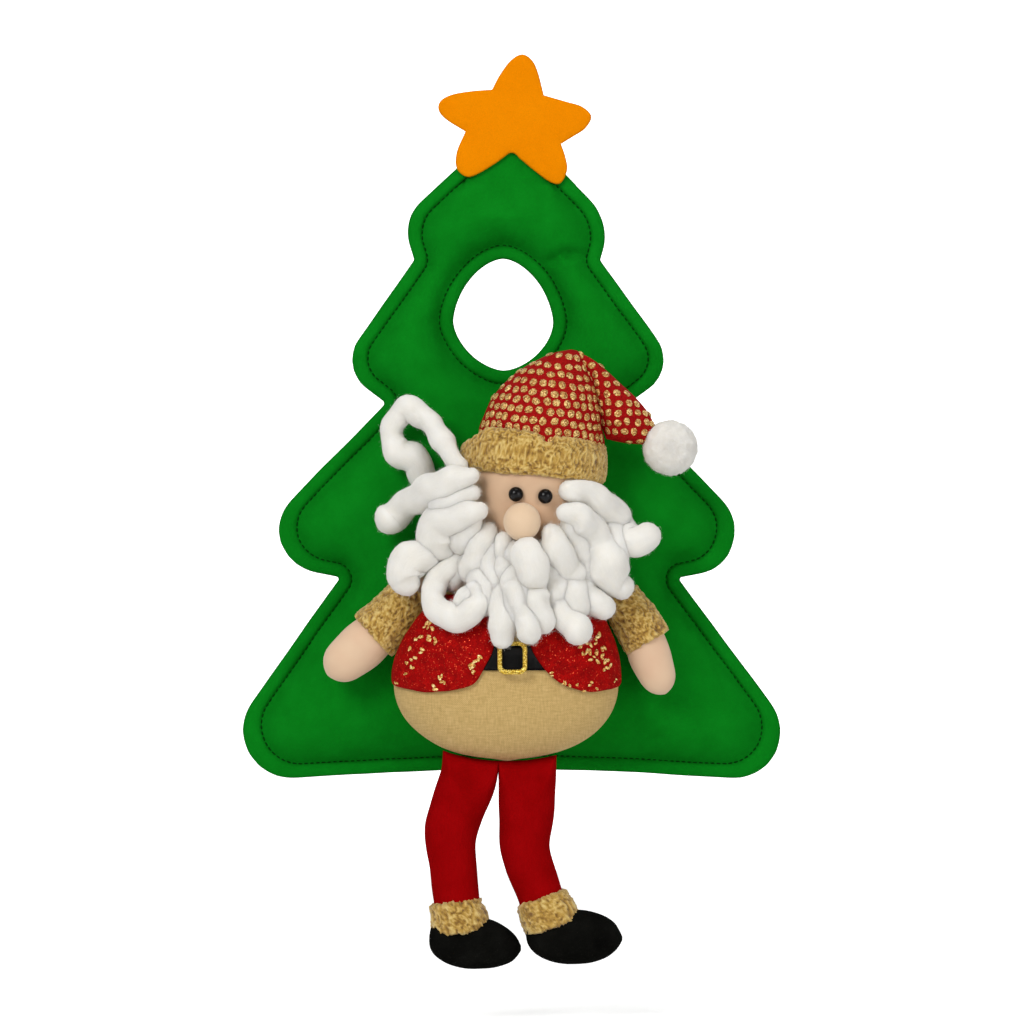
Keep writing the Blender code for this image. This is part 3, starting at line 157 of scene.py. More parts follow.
# Doll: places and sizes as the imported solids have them
TREE_FRONT = -0.0303
TORSO = Vector((0.00165, -0.0503, -0.2315))
TORSO_WIDTH = 0.125
TORSO_HEIGHTS = (0.064, 0.043)
TORSO_DEPTH = 0.033
TORSO_ROUNDNESS = 2.2
TORSO_LEVELS = 34
TORSO_SIDES = 72
NECK_LEAN = 0.0088
NECK_RISE = 74
NECK_TOP = 0.003
WEAVE_REACH = (TORSO_WIDTH / 2 * 1.06, 0.066)
SWELL = 0.0014
HEAD = Vector((0.01625, -0.0528, -0.1226))
HEAD_SIZE = (0.0704, 0.044, 0.0505, 0.031)
HEAD_LEVELS = 30
HEAD_SIDES = 48
HEAD_SWELL = 0.0012
HEAD_BACK_GAP = 0.0015
CROWN_BACK = -0.0353

# Belt and buckle; a laid sheet's rim is this share of its thickness
RIM_SHARE = 0.12
BELT_LEVELS = 9
BELT_STEPS = 61
BELT_BASE = 0.0002
BELT_HEIGHTS = (0.0070, 0.0204)
BELT_THICKNESS = 0.0011
BELT_TURN = 60
BUCKLE_LEAN = 12
BUCKLE_SIZE = (0.0136, 0.0158)
BUCKLE_CORNER = 0.0032
BUCKLE_BAR = 0.0026
BUCKLE_BEAD = 0.0013
BUCKLE_ROWS = ((1.07, 0.0007), (0.90, 0.0007))
BEAD_PACKING = 0.92
BAR_FLATNESS = 0.8

# Vest: height share, then inner and outer edge as shares of the torso's half width
VEST_HEIGHT = 0.050
VEST_DROP = 0.0050
VEST_COLUMNS = 34
VEST_ROW_SHARE = 0.035
VEST_WRAP = 1.045
VEST_BASE = 0.0018
VEST_THICKNESS = 0.0020
LEFT_VEST_SHARES = (
    (0.0, -0.380, -0.90), (0.04, -0.285, -0.94), (0.12, -0.225, -0.95),
    (0.26, -0.175, -0.95), (0.42, -0.128, -0.94), (0.60, -0.132, -0.93),
    (0.80, -0.230, -0.92), (1.0, -0.420, -0.90))
RIGHT_VEST_SHARES = (
    (0.0, 0.560, 0.90), (0.04, 0.480, 0.94), (0.12, 0.392, 0.95), (0.26, 0.290, 0.95),
    (0.42, 0.218, 0.94), (0.60, 0.175, 0.93), (0.80, 0.145, 0.92), (1.0, 0.125, 0.90))

# Gold flakes on the vest: pixel place and size
FLAKE_SEED = 5
FLAKE_GROW = 1.15
FLAKE_SCATTER = 0.4
FLAKE_ASPECT = 0.55
FLAKE_SIDES = 9
FLAKE_PROFILE = ((1.0, 0.0), (0.86, 0.20), (0.40, 0.30))
FLAKE_BULGE = 0.45
FLAKE_TOP = 0.2
FLAKES_TOGETHER = 2
VEST_FLAKES_PX = (
    (431, 620, 6), (427.7, 625.5, 5), (434.5, 627.8, 6), (424.3, 632.3, 6), (437.9, 639, 6),
    (418.6, 639, 5), (428.5, 638.5, 6), (432, 634, 5), (413, 645.9, 5), (422, 648, 6),
    (415.2, 656, 5), (408.5, 661.7, 5), (414, 665, 4), (407.3, 670.8, 4), (473, 661.7, 6),
    (477.5, 658.3, 5), (482, 655, 5), (475.2, 668.5, 5), (470.7, 665, 4), (442.4, 673, 5),
    (444.7, 679.8, 5), (435.6, 684.4, 6), (398, 679.0, 4), (580.4, 643.6, 6),
    (587.2, 641.4, 6), (592.9, 639, 5), (596.2, 632.3, 6), (594, 648, 6), (588.3, 650.4, 7),
    (600.8, 645.9, 6), (598.5, 652.7, 6), (604.2, 658.3, 6), (607.6, 664, 5),
    (596.2, 659.5, 5), (590.6, 656, 5), (582.7, 649.3, 6), (603, 667.3, 4), (569, 684.0, 5),
    (582.7, 687.5, 6), (589.5, 679.8, 5), (575.9, 681, 4), (562.3, 679.8, 5), (551, 670.8, 4),
    (613.3, 677.6, 4), (596.2, 685.8, 4))

# Face: pixel place and radius
NOSE_PX = (522, 521.6, 18.3)
NOSE_SEAT = 0.62
NOSE_SHAPE = (1.0, 0.95, 1.03)
EYES_PX = ((515.8, 494.6, 7.3), (544.6, 496.6, 7.3))
EYE_SEAT = 0.45
EYE_SHAPE = (1.0, 0.82, 1.0)
DIMPLE_SHARES = (1.5, 0.20)

# Hat: crown rows from the rim up, as pixel row, left and right edge
CROWN_ROWS_PX = (
    (455, 476, 604), (440, 479, 602), (428, 480, 600.5), (415, 485, 601), (400, 492, 597.5),
    (385, 504, 592.5), (372, 519, 586), (361, 539, 581), (355, 553, 579), (352.5, 565, 576))
CROWN_SPACING = 0.0018
CROWN_SIDES = 88
HAT_DEPTH = 0.88
HAT_EASE = 0.002
CROWN_LEAST = 0.0008
CROWN_TOP = 0.0006
TAIL_OUTER_PX = (
    (577, 354), (591, 361), (606, 373), (620, 386), (633, 398), (645, 412), (654, 428))
TAIL_LOWER_PX = (
    (605, 440), (613, 442), (621, 443.5), (629, 444.5), (636, 445), (643, 445.5), (649, 446))
TAIL_STEPS = 44
TAIL_SIDES = 56
TAIL_DEPTH = 0.023
TAIL_DEPTH_SHARES = ((0.0, 0.06, 0.15, 0.3, 0.5, 0.8, 1.0), (0.15, 0.35, 0.72, 0.94, 1.0, 0.62, 0.30))
TAIL_FORWARD = 0.0015
TAIL_TAPER = 0.25
TAIL_START = 0.0015
TAIL_TIP = 0.3
POMPOM_PX = (668, 448.6, 27.0)
DOT_PITCH = 0.0056
DOT_ROWS = 0.92
DOT_SIZES = (0.0052, 0.0048)
DOT_TURN = 76
DOT_JITTER = 0.1
DOT_LIFT = 0.00005
DOT_ASPECT = 0.86
DOT_SEED = 11
DOT_SLANT = (0.12, 0.02)

# Fur band: pixel rows of its top and bottom edge at shares across, its ends, and the
# tuck's place across, depth and width
FUR_HEIGHT = 0.0017
BAND_SIDES = (320, 76)
BAND_TOP_PX = ((0.0, 0.15, 0.4, 0.62, 0.85, 1.0), (444, 430, 432, 437, 441, 444))
BAND_BOTTOM_PX = ((0.0, 0.3, 0.5, 0.75, 1.0), (469, 474, 475, 479, 484))
BAND_ENDS_PX = (462, 605)
BAND_PILE = 0.0085
BAND_TUCK = (0.20, 0.0042, 0.09)
BAND_ROUNDNESS = 3.0
BAND_DEPTH = 0.86

# Limbs: pixel place and half width along each, and each leg's rows as row, left and right
ARM_RATIO = 0.85
LIMB_SWELL = 0.0008
LIMB_SPACING = 0.002
SHOULDER_TIP = 0.6
HAND_TIP = {"left": 1.0, "right": 1.12}
ARM_PX = {
    "left": ((418, 584, 18), (405, 601, 20), (389.5, 620, 22), (374, 635, 24.5),
             (361, 647, 25.8), (345.5, 660, 23.4)),
    "right": ((616, 588, 17), (624, 602, 19), (635, 622, 20.5), (644.5, 641, 22),
              (650.5, 658, 22.5), (656.5, 673, 20.2)),
}
SLEEVE_PX = {
    "left": ((415, 588, 20.5), (403.5, 603, 22.5), (389, 621, 25.5), (373.3, 635.5, 26.8)),
    "right": ((620, 595, 18.5), (626, 606, 20.8), (636, 622, 23.2), (647.5, 641.5, 23.6)),
}
SLEEVE_SPACING = 0.0009
SLEEVE_SIDES = 130
SLEEVE_PILE = 0.0036
SLEEVE_RIM_SHARES = (0.3, 0.7)
LEG_RATIO = 0.84
LEG_SPACING = 0.0022
LEG_FREE = 0.018
LEG_EASE = 6
SHOE_EASE = 4
LEG_ROWS_PX = {
    "left": ((752, 442.5, 499.4), (765, 441, 499.4), (777, 438.5, 499), (789, 434.5, 495.5),
             (800, 431, 490), (814, 426.5, 484.5), (830, 423, 480), (846, 424, 477.5),
             (870, 428.5, 479), (894, 431.5, 480), (915, 434, 481)),
    "right": ((752, 497.2, 558), (765, 497.2, 558), (782, 497.2, 557.5), (798, 496.8, 557),
              (814, 497, 556.5), (830, 497, 554), (846, 498, 551.5), (862, 503, 554),
              (878, 510.5, 559), (900, 518, 565.5), (912, 522, 569.5)),
}
HIP_EASE = -0.0002
HIP_HEIGHT = -0.2783
HIP_STRETCH = 1.0
HIP_WEDGE = 25

# Shoes: pixel column, top and bottom from heel to toe; cuffs as the sleeves
SHOE_HALF = 25
SHOE_STEP_PX = 1.6
SHOE_SIDES = 40
SHOE_ROUNDNESS = 2.25
SHOE_FULLNESS = 0.8
SHOE_LEAST = 0.0002
SHOE_ROWS_PX = {
    "left": ((429, 935, 941), (430.5, 928, 948), (435.5, 922, 956), (445.5, 919, 963),
             (458, 918, 966.8), (474, 917.5, 968.6), (490, 919, 967.8), (503, 925, 965.5),
             (512, 932, 961.5), (518, 939, 955), (521, 946, 950)),
    "right": ((525.5, 928, 935), (527, 924, 942.5), (531.5, 922, 949.5), (539, 919.5, 956),
              (550, 915, 961),
              (565, 911, 963.5), (580, 910, 963.5), (594, 912, 961.5), (606, 917, 957.5),
              (615, 923, 951), (620, 931, 945), (622.5, 937, 940)),
}
CUFF_RATIO = 0.86
CUFF_PILE = 0.0050
CUFF_SPACING = 0.0011
CUFF_SIDES = 96
CUFF_RIM_SHARE = 0.3
CUFF_PX = {
    "left": ((455, 901, 24.8), (456.5, 909.5, 25.6), (459.5, 921, 28), (461, 932.5, 27.6)),
    "right": ((541.5, 897, 25), (544.5, 905.5, 26.4), (549.5, 917, 28.2), (553, 927.5, 27.2)),
}

# Wool locks: pixel places of each middle line, and half width
WOOL_SPACING = 0.0011
WOOL_GLOW = 0.006
WOOL_SIDES = 30
WOOL_PERIOD = 0.0125
WOOL_SWELL = 0.05
WOOL_RELIEF = 0.0006
TWIST_PITCH = 0.0150
TWIST_SWELL = 0.07
LOCK_PACKED = 0.0058
LOCK_FORWARD = 0.7
LOCK_REACH = 0.009
BED_SINK = 0.0022
ARM_SWEEP = (0.043, -0.152, -0.0590, 30)
BED_PRESS = 0.8
BED_SEED = 40
TRAVEL_START = -0.2
TRAVEL_STOP = 0.0001
BED_NEIGHBOURS = 14
DEPTH_EASE = 40
BEARD_LOCKS_PX = {
    "beard_loop_upper_left": (
        (459, 467, 9.8), (452, 456, 9.6), (444, 443, 11.8), (436, 430, 10.6), (424, 418, 12.4),
        (408, 410, 13.2), (395.5, 423, 12), (393, 438, 12.2), (398, 450.5, 14),
        (411, 457.5, 15.2), (420, 465.5, 14.6), (423, 476, 13.5)),
    "beard_lock_left_ear": (
        (472, 476.5, 8.8), (461, 478.5, 12), (446, 484.5, 15.4), (427, 494, 16.8),
        (408, 505, 14.2), (392.5, 518.5, 15.6)),
    "beard_lock_left_cheek": (
        (480, 510.5, 8.6), (461, 516, 15), (446, 520, 18.5), (438, 530, 20.5),
        (439, 543, 18.5), (452, 550, 14), (466, 553, 12)),
    "beard_lock_left_low": (
        (446, 556, 13), (427, 557, 16), (410, 561, 18.5), (406, 572, 17), (408, 580, 14.5)),
    "beard_curl_left": (
        (459, 562, 10.5), (446, 572, 12), (436, 584, 12.2), (434.5, 598, 12), (444, 611, 13.5),
        (460, 615.5, 14), (475, 605, 14.2), (477, 590, 12)),
    "beard_moustache_left": (
        (489, 530.5, 8.9), (481, 544, 14.2), (477, 558, 13.6), (472, 571, 12)),
    "beard_lock_middle_left": (
        (503.5, 540, 9.2), (505, 555, 11.4), (505, 570, 12.6), (505.5, 584, 10.6),
        (500.5, 596, 12.4), (504, 610, 15.6), (503.5, 624, 15), (502, 634, 12)),
    "beard_lock_chin": (
        (527, 552, 15.8), (530, 562, 17.6), (533, 575, 15.4), (532.5, 587, 13), (534, 599, 16.2),
        (539.5, 613, 13.6), (543, 620, 11)),
    "beard_lock_chin_low": (
        (514, 588, 10), (517, 602, 10.6), (523, 615, 10.6), (529, 629, 12.2)),
    "beard_moustache_right": (
        (551, 534, 10.6), (555.5, 547, 14.8), (563, 562, 13.4), (572, 572, 13)),
    "beard_lock_middle_right": (
        (557, 540, 10.5), (565, 556, 13), (573, 572, 13.6), (581, 592, 17.6), (592, 601, 15),
        (602, 605, 13)),
    "beard_lock_right_low": (
        (556, 590, 7.5), (557.5, 603, 8.8), (564, 616, 11.6), (576, 627, 15.2)),
    "beard_lock_right_cheek": (
        (564.5, 512.5, 9.2), (578, 517, 14.2), (590, 533, 16.2), (601, 552, 20.6),
        (607, 567, 21.8), (613, 580, 17), (620, 585, 13)),
    "beard_lock_right_ear": (
        (568, 492, 10.6), (583, 491.5, 11.4), (598, 502.5, 15), (610, 514.5, 16.2),
        (621, 528, 14.8), (630, 542, 15.4), (644.5, 536, 15)),
}
BEARD_BED_PX = {
    "wool_bed_left_ear": ((472.5, 493.5, 8.8), (460, 498, 13), (444, 504, 14)),
    "wool_bed_left_high": ((472, 520, 12), (466, 532, 17), (466, 546, 17), (468, 558, 15)),
    "wool_bed_left_side": ((433, 546, 12), (438, 559, 13), (445, 571, 12)),
    "wool_bed_left_low": ((478, 562, 14), (481, 580, 15), (486, 600, 14)),
    "wool_bed_left_curl": ((472, 560, 11), (462, 568, 12), (455, 580, 10.5)),
    "wool_bed_curl_end": ((478, 590, 11), (468, 596, 12), (464, 606, 11)),
    "wool_bed_middle_left": ((492, 548, 11), (492, 564, 13.5), (492, 582, 13), (492, 598, 12)),
    "wool_bed_middle": ((513, 552, 13), (516, 572, 15), (517, 592, 15), (516, 612, 13)),
    "wool_bed_middle_right": ((547, 548, 12), (551, 566, 14.5), (555, 584, 13.5), (556, 602, 11)),
    "wool_bed_right_low": ((556, 560, 14), (566, 578, 16), (576, 602, 15)),
    "wool_bed_right_cheek": ((572, 514, 12), (575, 532, 14.5), (582, 551, 15.5), (590, 572, 16)),
    "wool_bed_right_ear": ((596, 508, 12), (607, 524, 15.5), (613, 541, 15), (614, 560, 14)),
}
FIBRE_WIDTH = 0.00010
FIBRE_STEPS = 3
FIBRES_PER_LOCK = 1150
FIBRE_LENGTH = 0.0036
POMPOM_FIBRES = 6000
POMPOM_FIBRE_LENGTH = 0.0028


def at(px, py, y=0.0):
    """The place of a photo pixel at a depth."""
    return Vector(((px - ORIGIN_PX[0]) * PIXEL, y, (ORIGIN_PX[1] - py) * PIXEL))


def seen_at(px, py, y):
    """The place at a depth that the camera sees at a photo pixel."""
    share = 1 + y / CAMERA_DISTANCE
    middle = IMAGE_PX / 2
    return at(middle + (px - middle) * share, middle + (py - middle) * share, y)


def make_mesh(name, points, faces, uvs=None):
    """A smooth object from points and faces, with UVs given for each corner of each face."""
    mesh = bpy.data.meshes.new(name)
    mesh.from_pydata([tuple(point) for point in points], [], faces)
    if uvs:
        layer = mesh.uv_layers.new(name="cloth")
        layer.data.foreach_set("uv", [value for pair in uvs for value in pair])
    mesh.shade_smooth()
    piece = bpy.data.objects.new(name, mesh)
    bpy.context.scene.collection.objects.link(piece)
    return piece


def skin(name, rings, closed=False):
    """A mesh over rings of points, its UVs in metres round and along; one point is a pole."""
    points, starts, along = [], [], [0.0]
    for ring in rings:
        starts.append(len(points))
        points += ring
    for before, after in zip(rings, rings[1:]):
        along.append(along[-1] + (after[0] - before[0]).length)
    girth = max(
        sum((b - a).length for a, b in zip(ring, ring[1:] + ring[:1])) for ring in rings)
    faces, uvs = [], []
    pairs = list(zip(range(len(rings)), range(1, len(rings))))
    if closed:
        pairs.append((len(rings) - 1, 0))
        along.append(along[-1])
    for low, high in pairs:
        count = max(len(rings[low]), len(rings[high]))
        v_low, v_high = along[low], along[low + 1]
        for k in range(count):
            after = (k + 1) % count
            u, u_after = girth * k / count, girth * (k + 1) / count
            if len(rings[low]) == 1:
                faces.append((starts[low], starts[high] + after, starts[high] + k))
                uvs += [(u, v_low), (u_after, v_high), (u, v_high)]
            elif len(rings[high]) == 1:
                faces.append((starts[low] + k, starts[low] + after, starts[high]))
                uvs += [(u, v_low), (u_after, v_low), (u, v_high)]
            else:
                faces.append((
                    starts[low] + k, starts[low] + after, starts[high] + after,
                    starts[high] + k))
                uvs += [(u, v_low), (u_after, v_low), (u_after, v_high), (u, v_high)]
    piece = make_mesh(name, points, faces, uvs)
    face_outward(piece)
    return piece


def face_outward(piece):
    """Turn a closed mesh's faces outward."""
    shape = bmesh.new()
    shape.from_mesh(piece.data)
    bmesh.ops.recalc_face_normals(shape, faces=shape.faces[:])
    if shape.calc_volume(signed=True) < 0:
        bmesh.ops.reverse_faces(shape, faces=shape.faces[:])
    shape.to_mesh(piece.data)
    shape.free()


def subdivide(piece):
    """Subdivide a mesh once, now."""
    piece.modifiers.new("subdivide", 'SUBSURF')
    graph = bpy.context.evaluated_depsgraph_get()
    mesh = bpy.data.meshes.new_from_object(piece.evaluated_get(graph))
    piece.modifiers.clear()
    piece.data = mesh
    mesh.shade_smooth()


def coordinates(mesh):
    """A mesh's points as an array."""
    values = np.zeros(len(mesh.vertices) * 3)
    mesh.vertices.foreach_get("co", values)
    return values.reshape(-1, 3)


def set_coordinates(mesh, values):
    """Move a mesh's points."""
    mesh.vertices.foreach_set("co", np.asarray(values).ravel())
    mesh.update()


def blow_up(piece, pressure, cap, pinned=(), stiffness=15.0):
    """Swell a piece as sewn cloth round its filling, no point further than a cap."""
    start = coordinates(piece.data)
    modifier = piece.modifiers.new("cloth", 'CLOTH')
    settings = modifier.settings
    if len(pinned):
        group = piece.vertex_groups.new(name="sewn")
        group.add([int(k) for k in pinned], 1.0, 'REPLACE')
        settings.vertex_group_mass = "sewn"
    settings.quality = 5
    settings.tension_stiffness = stiffness
    settings.compression_stiffness = stiffness
    settings.bending_stiffness = 0.4
    settings.use_pressure = True
    settings.uniform_pressure_force = pressure
    settings.effector_weights.gravity = 0.0
    modifier.point_cache.frame_end = 20
    scene = bpy.context.scene
    for number in range(1, 21):
        scene.frame_set(number)
    graph = bpy.context.evaluated_depsgraph_get()
    moved = coordinates(piece.evaluated_get(graph).data)
    piece.modifiers.clear()
    scene.frame_set(1)
    change = moved - start
    length = np.linalg.norm(change, axis=1, keepdims=True)
    change *= np.minimum(1.0, cap / np.maximum(length, 1e-9))
    set_coordinates(piece.data, start + change)


def roughen(piece, height):
    """Raise each point along its normal by height(place), which gives a 0 to 1 relief share too; the
    fur and wool materials turn that share into painted shade in the hollows and painted light on the
    tops.
    """
    mesh = piece.data
    normals = [vertex.normal.copy() for vertex in mesh.vertices]
    relief = []
    for vertex, normal in zip(mesh.vertices, normals):
        rise, share = height(vertex.co.copy())
        vertex.co += normal * rise
        relief.append(share)
    layer = mesh.attributes.new("relief", 'FLOAT', 'POINT')
    layer.data.foreach_set("value", relief)
    mesh.update()


def uneven(scale, reach):
    """Gentle unevenness for roughen: how fine it is, and how high in metres."""
    def height(place):
        return noise.noise(place * scale) * reach, FLAT_RELIEF
    return height


def ridges(place, scale, warp, seed=0.0):
    """Ridged noise from 0 to 1, drawn into worms by the warp."""
    spot = place * scale + Vector((seed, seed * 2, -seed))
    spot += noise.noise_vector(spot * WARP_SCALE) * warp
    return max(0.0, 1 - abs(noise.noise(spot)) * RIDGE_STEEPNESS)


def dress(piece, material, slot, body, *nodes):
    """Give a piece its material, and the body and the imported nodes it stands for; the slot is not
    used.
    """
    piece.data.materials.clear()
    piece.data.materials.append(material)
    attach(piece, body)
    if nodes:
        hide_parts(*nodes)


class Shader:
    """A node material; each method adds a node and gives its output."""

    def __init__(self, name):
        self.material = bpy.data.materials.new(name)
        self.material.use_nodes = True
        self.tree = self.material.node_tree
        self.surface = self.tree.nodes["Principled BSDF"]
        self.place = self.node('ShaderNodeTexCoord', {}, "Object")
        self.cloth = self.node('ShaderNodeTexCoord', {}, "UV")

    def node(self, kind, inputs, output=0, **settings):
        made = self.tree.nodes.new(kind)
        for key, value in settings.items():
            setattr(made, key, value)
        for key, value in inputs.items():
            if isinstance(value, bpy.types.NodeSocket):
                self.tree.links.new(value, made.inputs[key])
            else:
                made.inputs[key].default_value = value
        return made.outputs[output]

    def noise(self, scale, detail=3.0, roughness=0.6, vector=None, distortion=0.0):
        return self.node('ShaderNodeTexNoise', {
            "Vector": vector or self.place, "Scale": scale, "Detail": detail,
            "Roughness": roughness, "Distortion": distortion})

    def cells(self, scale, output="Distance", randomness=1.0, vector=None):
        return self.node('ShaderNodeTexVoronoi', {
            "Vector": vector or self.place, "Scale": scale, "Randomness": randomness}, output)

    def math(self, operation, first, second=0.0):
        return self.node('ShaderNodeMath', {0: first, 1: second}, operation=operation)

    def stretch(self, vector, scale):
        return self.node(
            'ShaderNodeVectorMath', {0: vector, 1: scale}, operation='MULTIPLY')

    def split(self, vector):
        made = self.tree.nodes.new('ShaderNodeSeparateXYZ')
        self.tree.links.new(vector, made.inputs[0])
        return made.outputs

    def ramp(self, fac, *stops):
        made = self.tree.nodes.new('ShaderNodeValToRGB')
        self.tree.links.new(fac, made.inputs[0])
        while len(made.color_ramp.elements) < len(stops):
            made.color_ramp.elements.new(0.5)
        for element, (position, colour) in zip(made.color_ramp.elements, stops):
            element.position = position
            element.color = (*colour, 1.0) if len(colour) == 3 else colour
        return made.outputs[0]

    def fade(self, fac, low, high, from_value=0.0, to_value=1.0):
        return self.node('ShaderNodeMapRange', {
            "Value": fac, "From Min": low, "From Max": high, "To Min": from_value,
            "To Max": to_value})

    def mix(self, fac, first, second, blend='MIX'):
        made = self.tree.nodes.new('ShaderNodeMix')
        made.data_type = 'RGBA'
        made.blend_type = blend
        for key, value in ((0, fac), (6, first), (7, second)):
            if isinstance(value, bpy.types.NodeSocket):
                self.tree.links.new(value, made.inputs[key])
            elif key == 0:
                made.inputs[key].default_value = value
            else:
                made.inputs[key].default_value = (*value, 1.0)
        return made.outputs[2]

    # The relief share from roughen, which the fur and wool materials use for painted shade and
    # painted light.
    def relief(self):
        return self.node('ShaderNodeAttribute', {}, "Fac", attribute_name="relief")

    def bump(self, height, strength, distance, under=None):
        inputs = {"Height": height, "Strength": strength, "Distance": distance}
        if under:
            inputs["Normal"] = under
        return self.node('ShaderNodeBump', inputs)

    def done(self, colour, normal=None, rough=0.9, metal=0.0, sheen=0.0, **extra):
        for key, value in (("Base Color", colour), ("Normal", normal), ("Roughness", rough),
                           ("Metallic", metal), ("Sheen Weight", sheen),
                           *((k.replace("_", " "), v) for k, v in extra.items())):
            if isinstance(value, bpy.types.NodeSocket):
                self.tree.links.new(value, self.surface.inputs[key])
            elif value is not None:
                self.surface.inputs[key].default_value = value
        return self.material


def felt_material(name, dark, middle, light, nap=0.0):
    """Pressed felt: soft blotches, matted fibres and, with a nap, streaks down the cloth."""
    s = Shader(name)
    blotch = s.noise(70, 4.0, 0.55)
    fibres = s.noise(1500, 5.0, 0.75, distortion=1.2)
    streaks = s.noise(900, 3.0, 0.6, vector=s.stretch(s.place, (1.0, 1.0, 0.16)))
    colour = s.ramp(blotch, (0.30, dark), (0.52, middle), (0.75, light))
    shade = s.fade(s.math('ADD', fibres, s.math('MULTIPLY', streaks, nap)),
                   0.3, 0.8 + nap * 0.5, 0.86, 1.14)
    colour = s.node('ShaderNodeVectorMath', {0: colour, 1: s.node(
        'ShaderNodeCombineXYZ', {0: shade, 1: shade, 2: shade})}, operation='MULTIPLY')
    normal = s.bump(fibres, 0.45, 0.0006)
    normal = s.bump(s.noise(420, 3.0), 0.20, 0.0012, normal)
    return s.done(colour, normal, 1.0, Specular_IOR_Level=0.01)


def burlap_material():
    """Plain weave of uneven yarns, with painted shade in the gaps between them."""
    s = Shader("burlap_weave")
    parts = s.split(s.cloth)
    wobble = s.noise(260, 2.0, vector=s.cloth)
    lines = []
    for axis in (0, 1):
        shifted = s.math('ADD', parts[axis], s.math('MULTIPLY', wobble, 0.0006))
        lines.append(s.math('SINE', s.math('MULTIPLY', shifted, 2 * math.pi / 0.00115)))
    over = s.math('MULTIPLY', lines[0], lines[1])
    height = s.math('ADD', s.math('ABSOLUTE', lines[0]), s.math('ABSOLUTE', lines[1]))
    yarn = s.noise(1.0, 3.0, vector=s.stretch(s.cloth, (170.0, 1000.0, 1.0)))
    weft = s.noise(1.0, 3.0, vector=s.stretch(s.cloth, (1000.0, 170.0, 1.0)))
    fac = s.math('ADD', s.math('MULTIPLY', over, 0.10),
                 s.math('MULTIPLY', s.math('ADD', yarn, weft), 0.5))
    colour = s.ramp(fac, (0.25, (0.520, 0.330, 0.105)), (0.44, (0.640, 0.425, 0.152)),
                    (0.56, (0.720, 0.495, 0.190)), (0.78, (0.830, 0.610, 0.280)))
    # Painted shade: where the weave's height is low, between the yarns, the colour is mixed toward a
    # dark brown.
    gaps = s.fade(height, 0.0, 0.55, 0.45, 1.0)
    colour = s.mix(gaps, (0.30, 0.165, 0.046), colour)
    return s.done(colour, s.bump(height, 0.55, 0.00045), 0.9, sheen=0.1,
                  Specular_IOR_Level=0.2)


def glitter_cloth_material():
    """Red cloth covered with fine glitter; its spark flecks are shiny and also painted bright as
    painted glints, and its deep flecks are painted darker as painted shade.
    """
    s = Shader("vest_glitter")
    flecks = s.cells(2300, "Color")
    bright = s.split(flecks)
    base = s.ramp(s.noise(240, 4.0), (0.35, (0.270, 0.0012, 0.0012)),
                  (0.65, (0.440, 0.0030, 0.0022)))
    # Painted glints: the spark flecks get a bright red colour, besides their real shine from metal
    # and low roughness.
    spark = s.fade(bright[0], 0.955, 0.995)
    colour = s.mix(spark, base, (0.90, 0.10, 0.04))
    # Painted shade: the deep flecks are mixed toward a dark red.
    deep = s.fade(bright[1], 0.0, 0.40, 0.70, 0.0)
    colour = s.mix(deep, colour, (0.13, 0.0006, 0.0010))
    tilt = s.bump(bright[2], 0.45, 0.0004)
    rough = s.fade(spark, 0.0, 1.0, 0.70, 0.30)
    return s.done(colour, tilt, rough, s.fade(spark, 0.0, 1.0, 0.0, 0.6),
                  Specular_IOR_Level=0.05)


def hat_cloth_material():
    """Red cloth with a woven rib; its gold dots are pieces of their own."""
    s = Shader("hat_cloth")
    ribs = s.math('SINE', s.math('MULTIPLY', s.split(s.cloth)[1], 2 * math.pi / 0.0012))
    grain = s.noise(1400, 4.0)
    base = s.ramp(grain, (0.30, (0.200, 0.001, 0.002)), (0.55, (0.380, 0.004, 0.004)),
                  (0.80, (0.560, 0.016, 0.010)))
    normal = s.bump(s.math('ADD', s.math('MULTIPLY', ribs, 0.25), grain), 0.6, 0.0006)
    return s.done(base, normal, 0.75, Specular_IOR_Level=0.08)


def gold_material(name, dark, middle, light, scale, rough=0.35, metal=0.75):
    """Crinkled gold, its facets painted brighter and darker at random as painted glints and painted
    shade.
    """
    s = Shader(name)
    facets = s.cells(scale, "Color")
    parts = s.split(facets)
    # The dark and light stops are painted shade and painted glints on the facets; the middle stop is
    # the gold's own colour.
    colour = s.ramp(parts[0], (0.10, dark), (0.50, middle), (0.90, light))
    normal = s.bump(s.math('ADD', parts[1], s.noise(scale * 0.6, 3.0)), 0.7, 0.0004)
    return s.done(colour, normal, rough, metal)


def fur_material():
    """Crushed gold pile, with painted shade in its creases and painted highlight on its tufts."""
    s = Shader("gold_fur")
    hairs = s.noise(1.0, 4.0, 0.7, vector=s.stretch(s.place, (2600.0, 2600.0, 900.0)),
                    distortion=2.0)
    tufts = s.noise(520, 3.0, 0.6, distortion=2.5)
    # Painted shade and highlight: the relief share, high on the raised worms of pile and low in the
    # creases, moves the colour from dark to pale; the hairs and tufts noises are the pile's own tone.
    fac = s.math('ADD', s.math('MULTIPLY', s.relief(), 0.62),
                 s.math('ADD', s.math('MULTIPLY', hairs, 0.30),
                        s.math('MULTIPLY', tufts, 0.30)))
    colour = s.ramp(fac, (0.28, (0.135, 0.055, 0.004)), (0.46, (0.375, 0.190, 0.018)),
                    (0.64, (0.620, 0.365, 0.058)), (0.88, (0.900, 0.680, 0.240)))
    normal = s.bump(hairs, 0.7, 0.0007)
    normal = s.bump(tufts, 0.5, 0.0010, normal)
    return s.done(colour, normal, 0.42, 0.15, sheen=0.3, Sheen_Roughness=0.4)


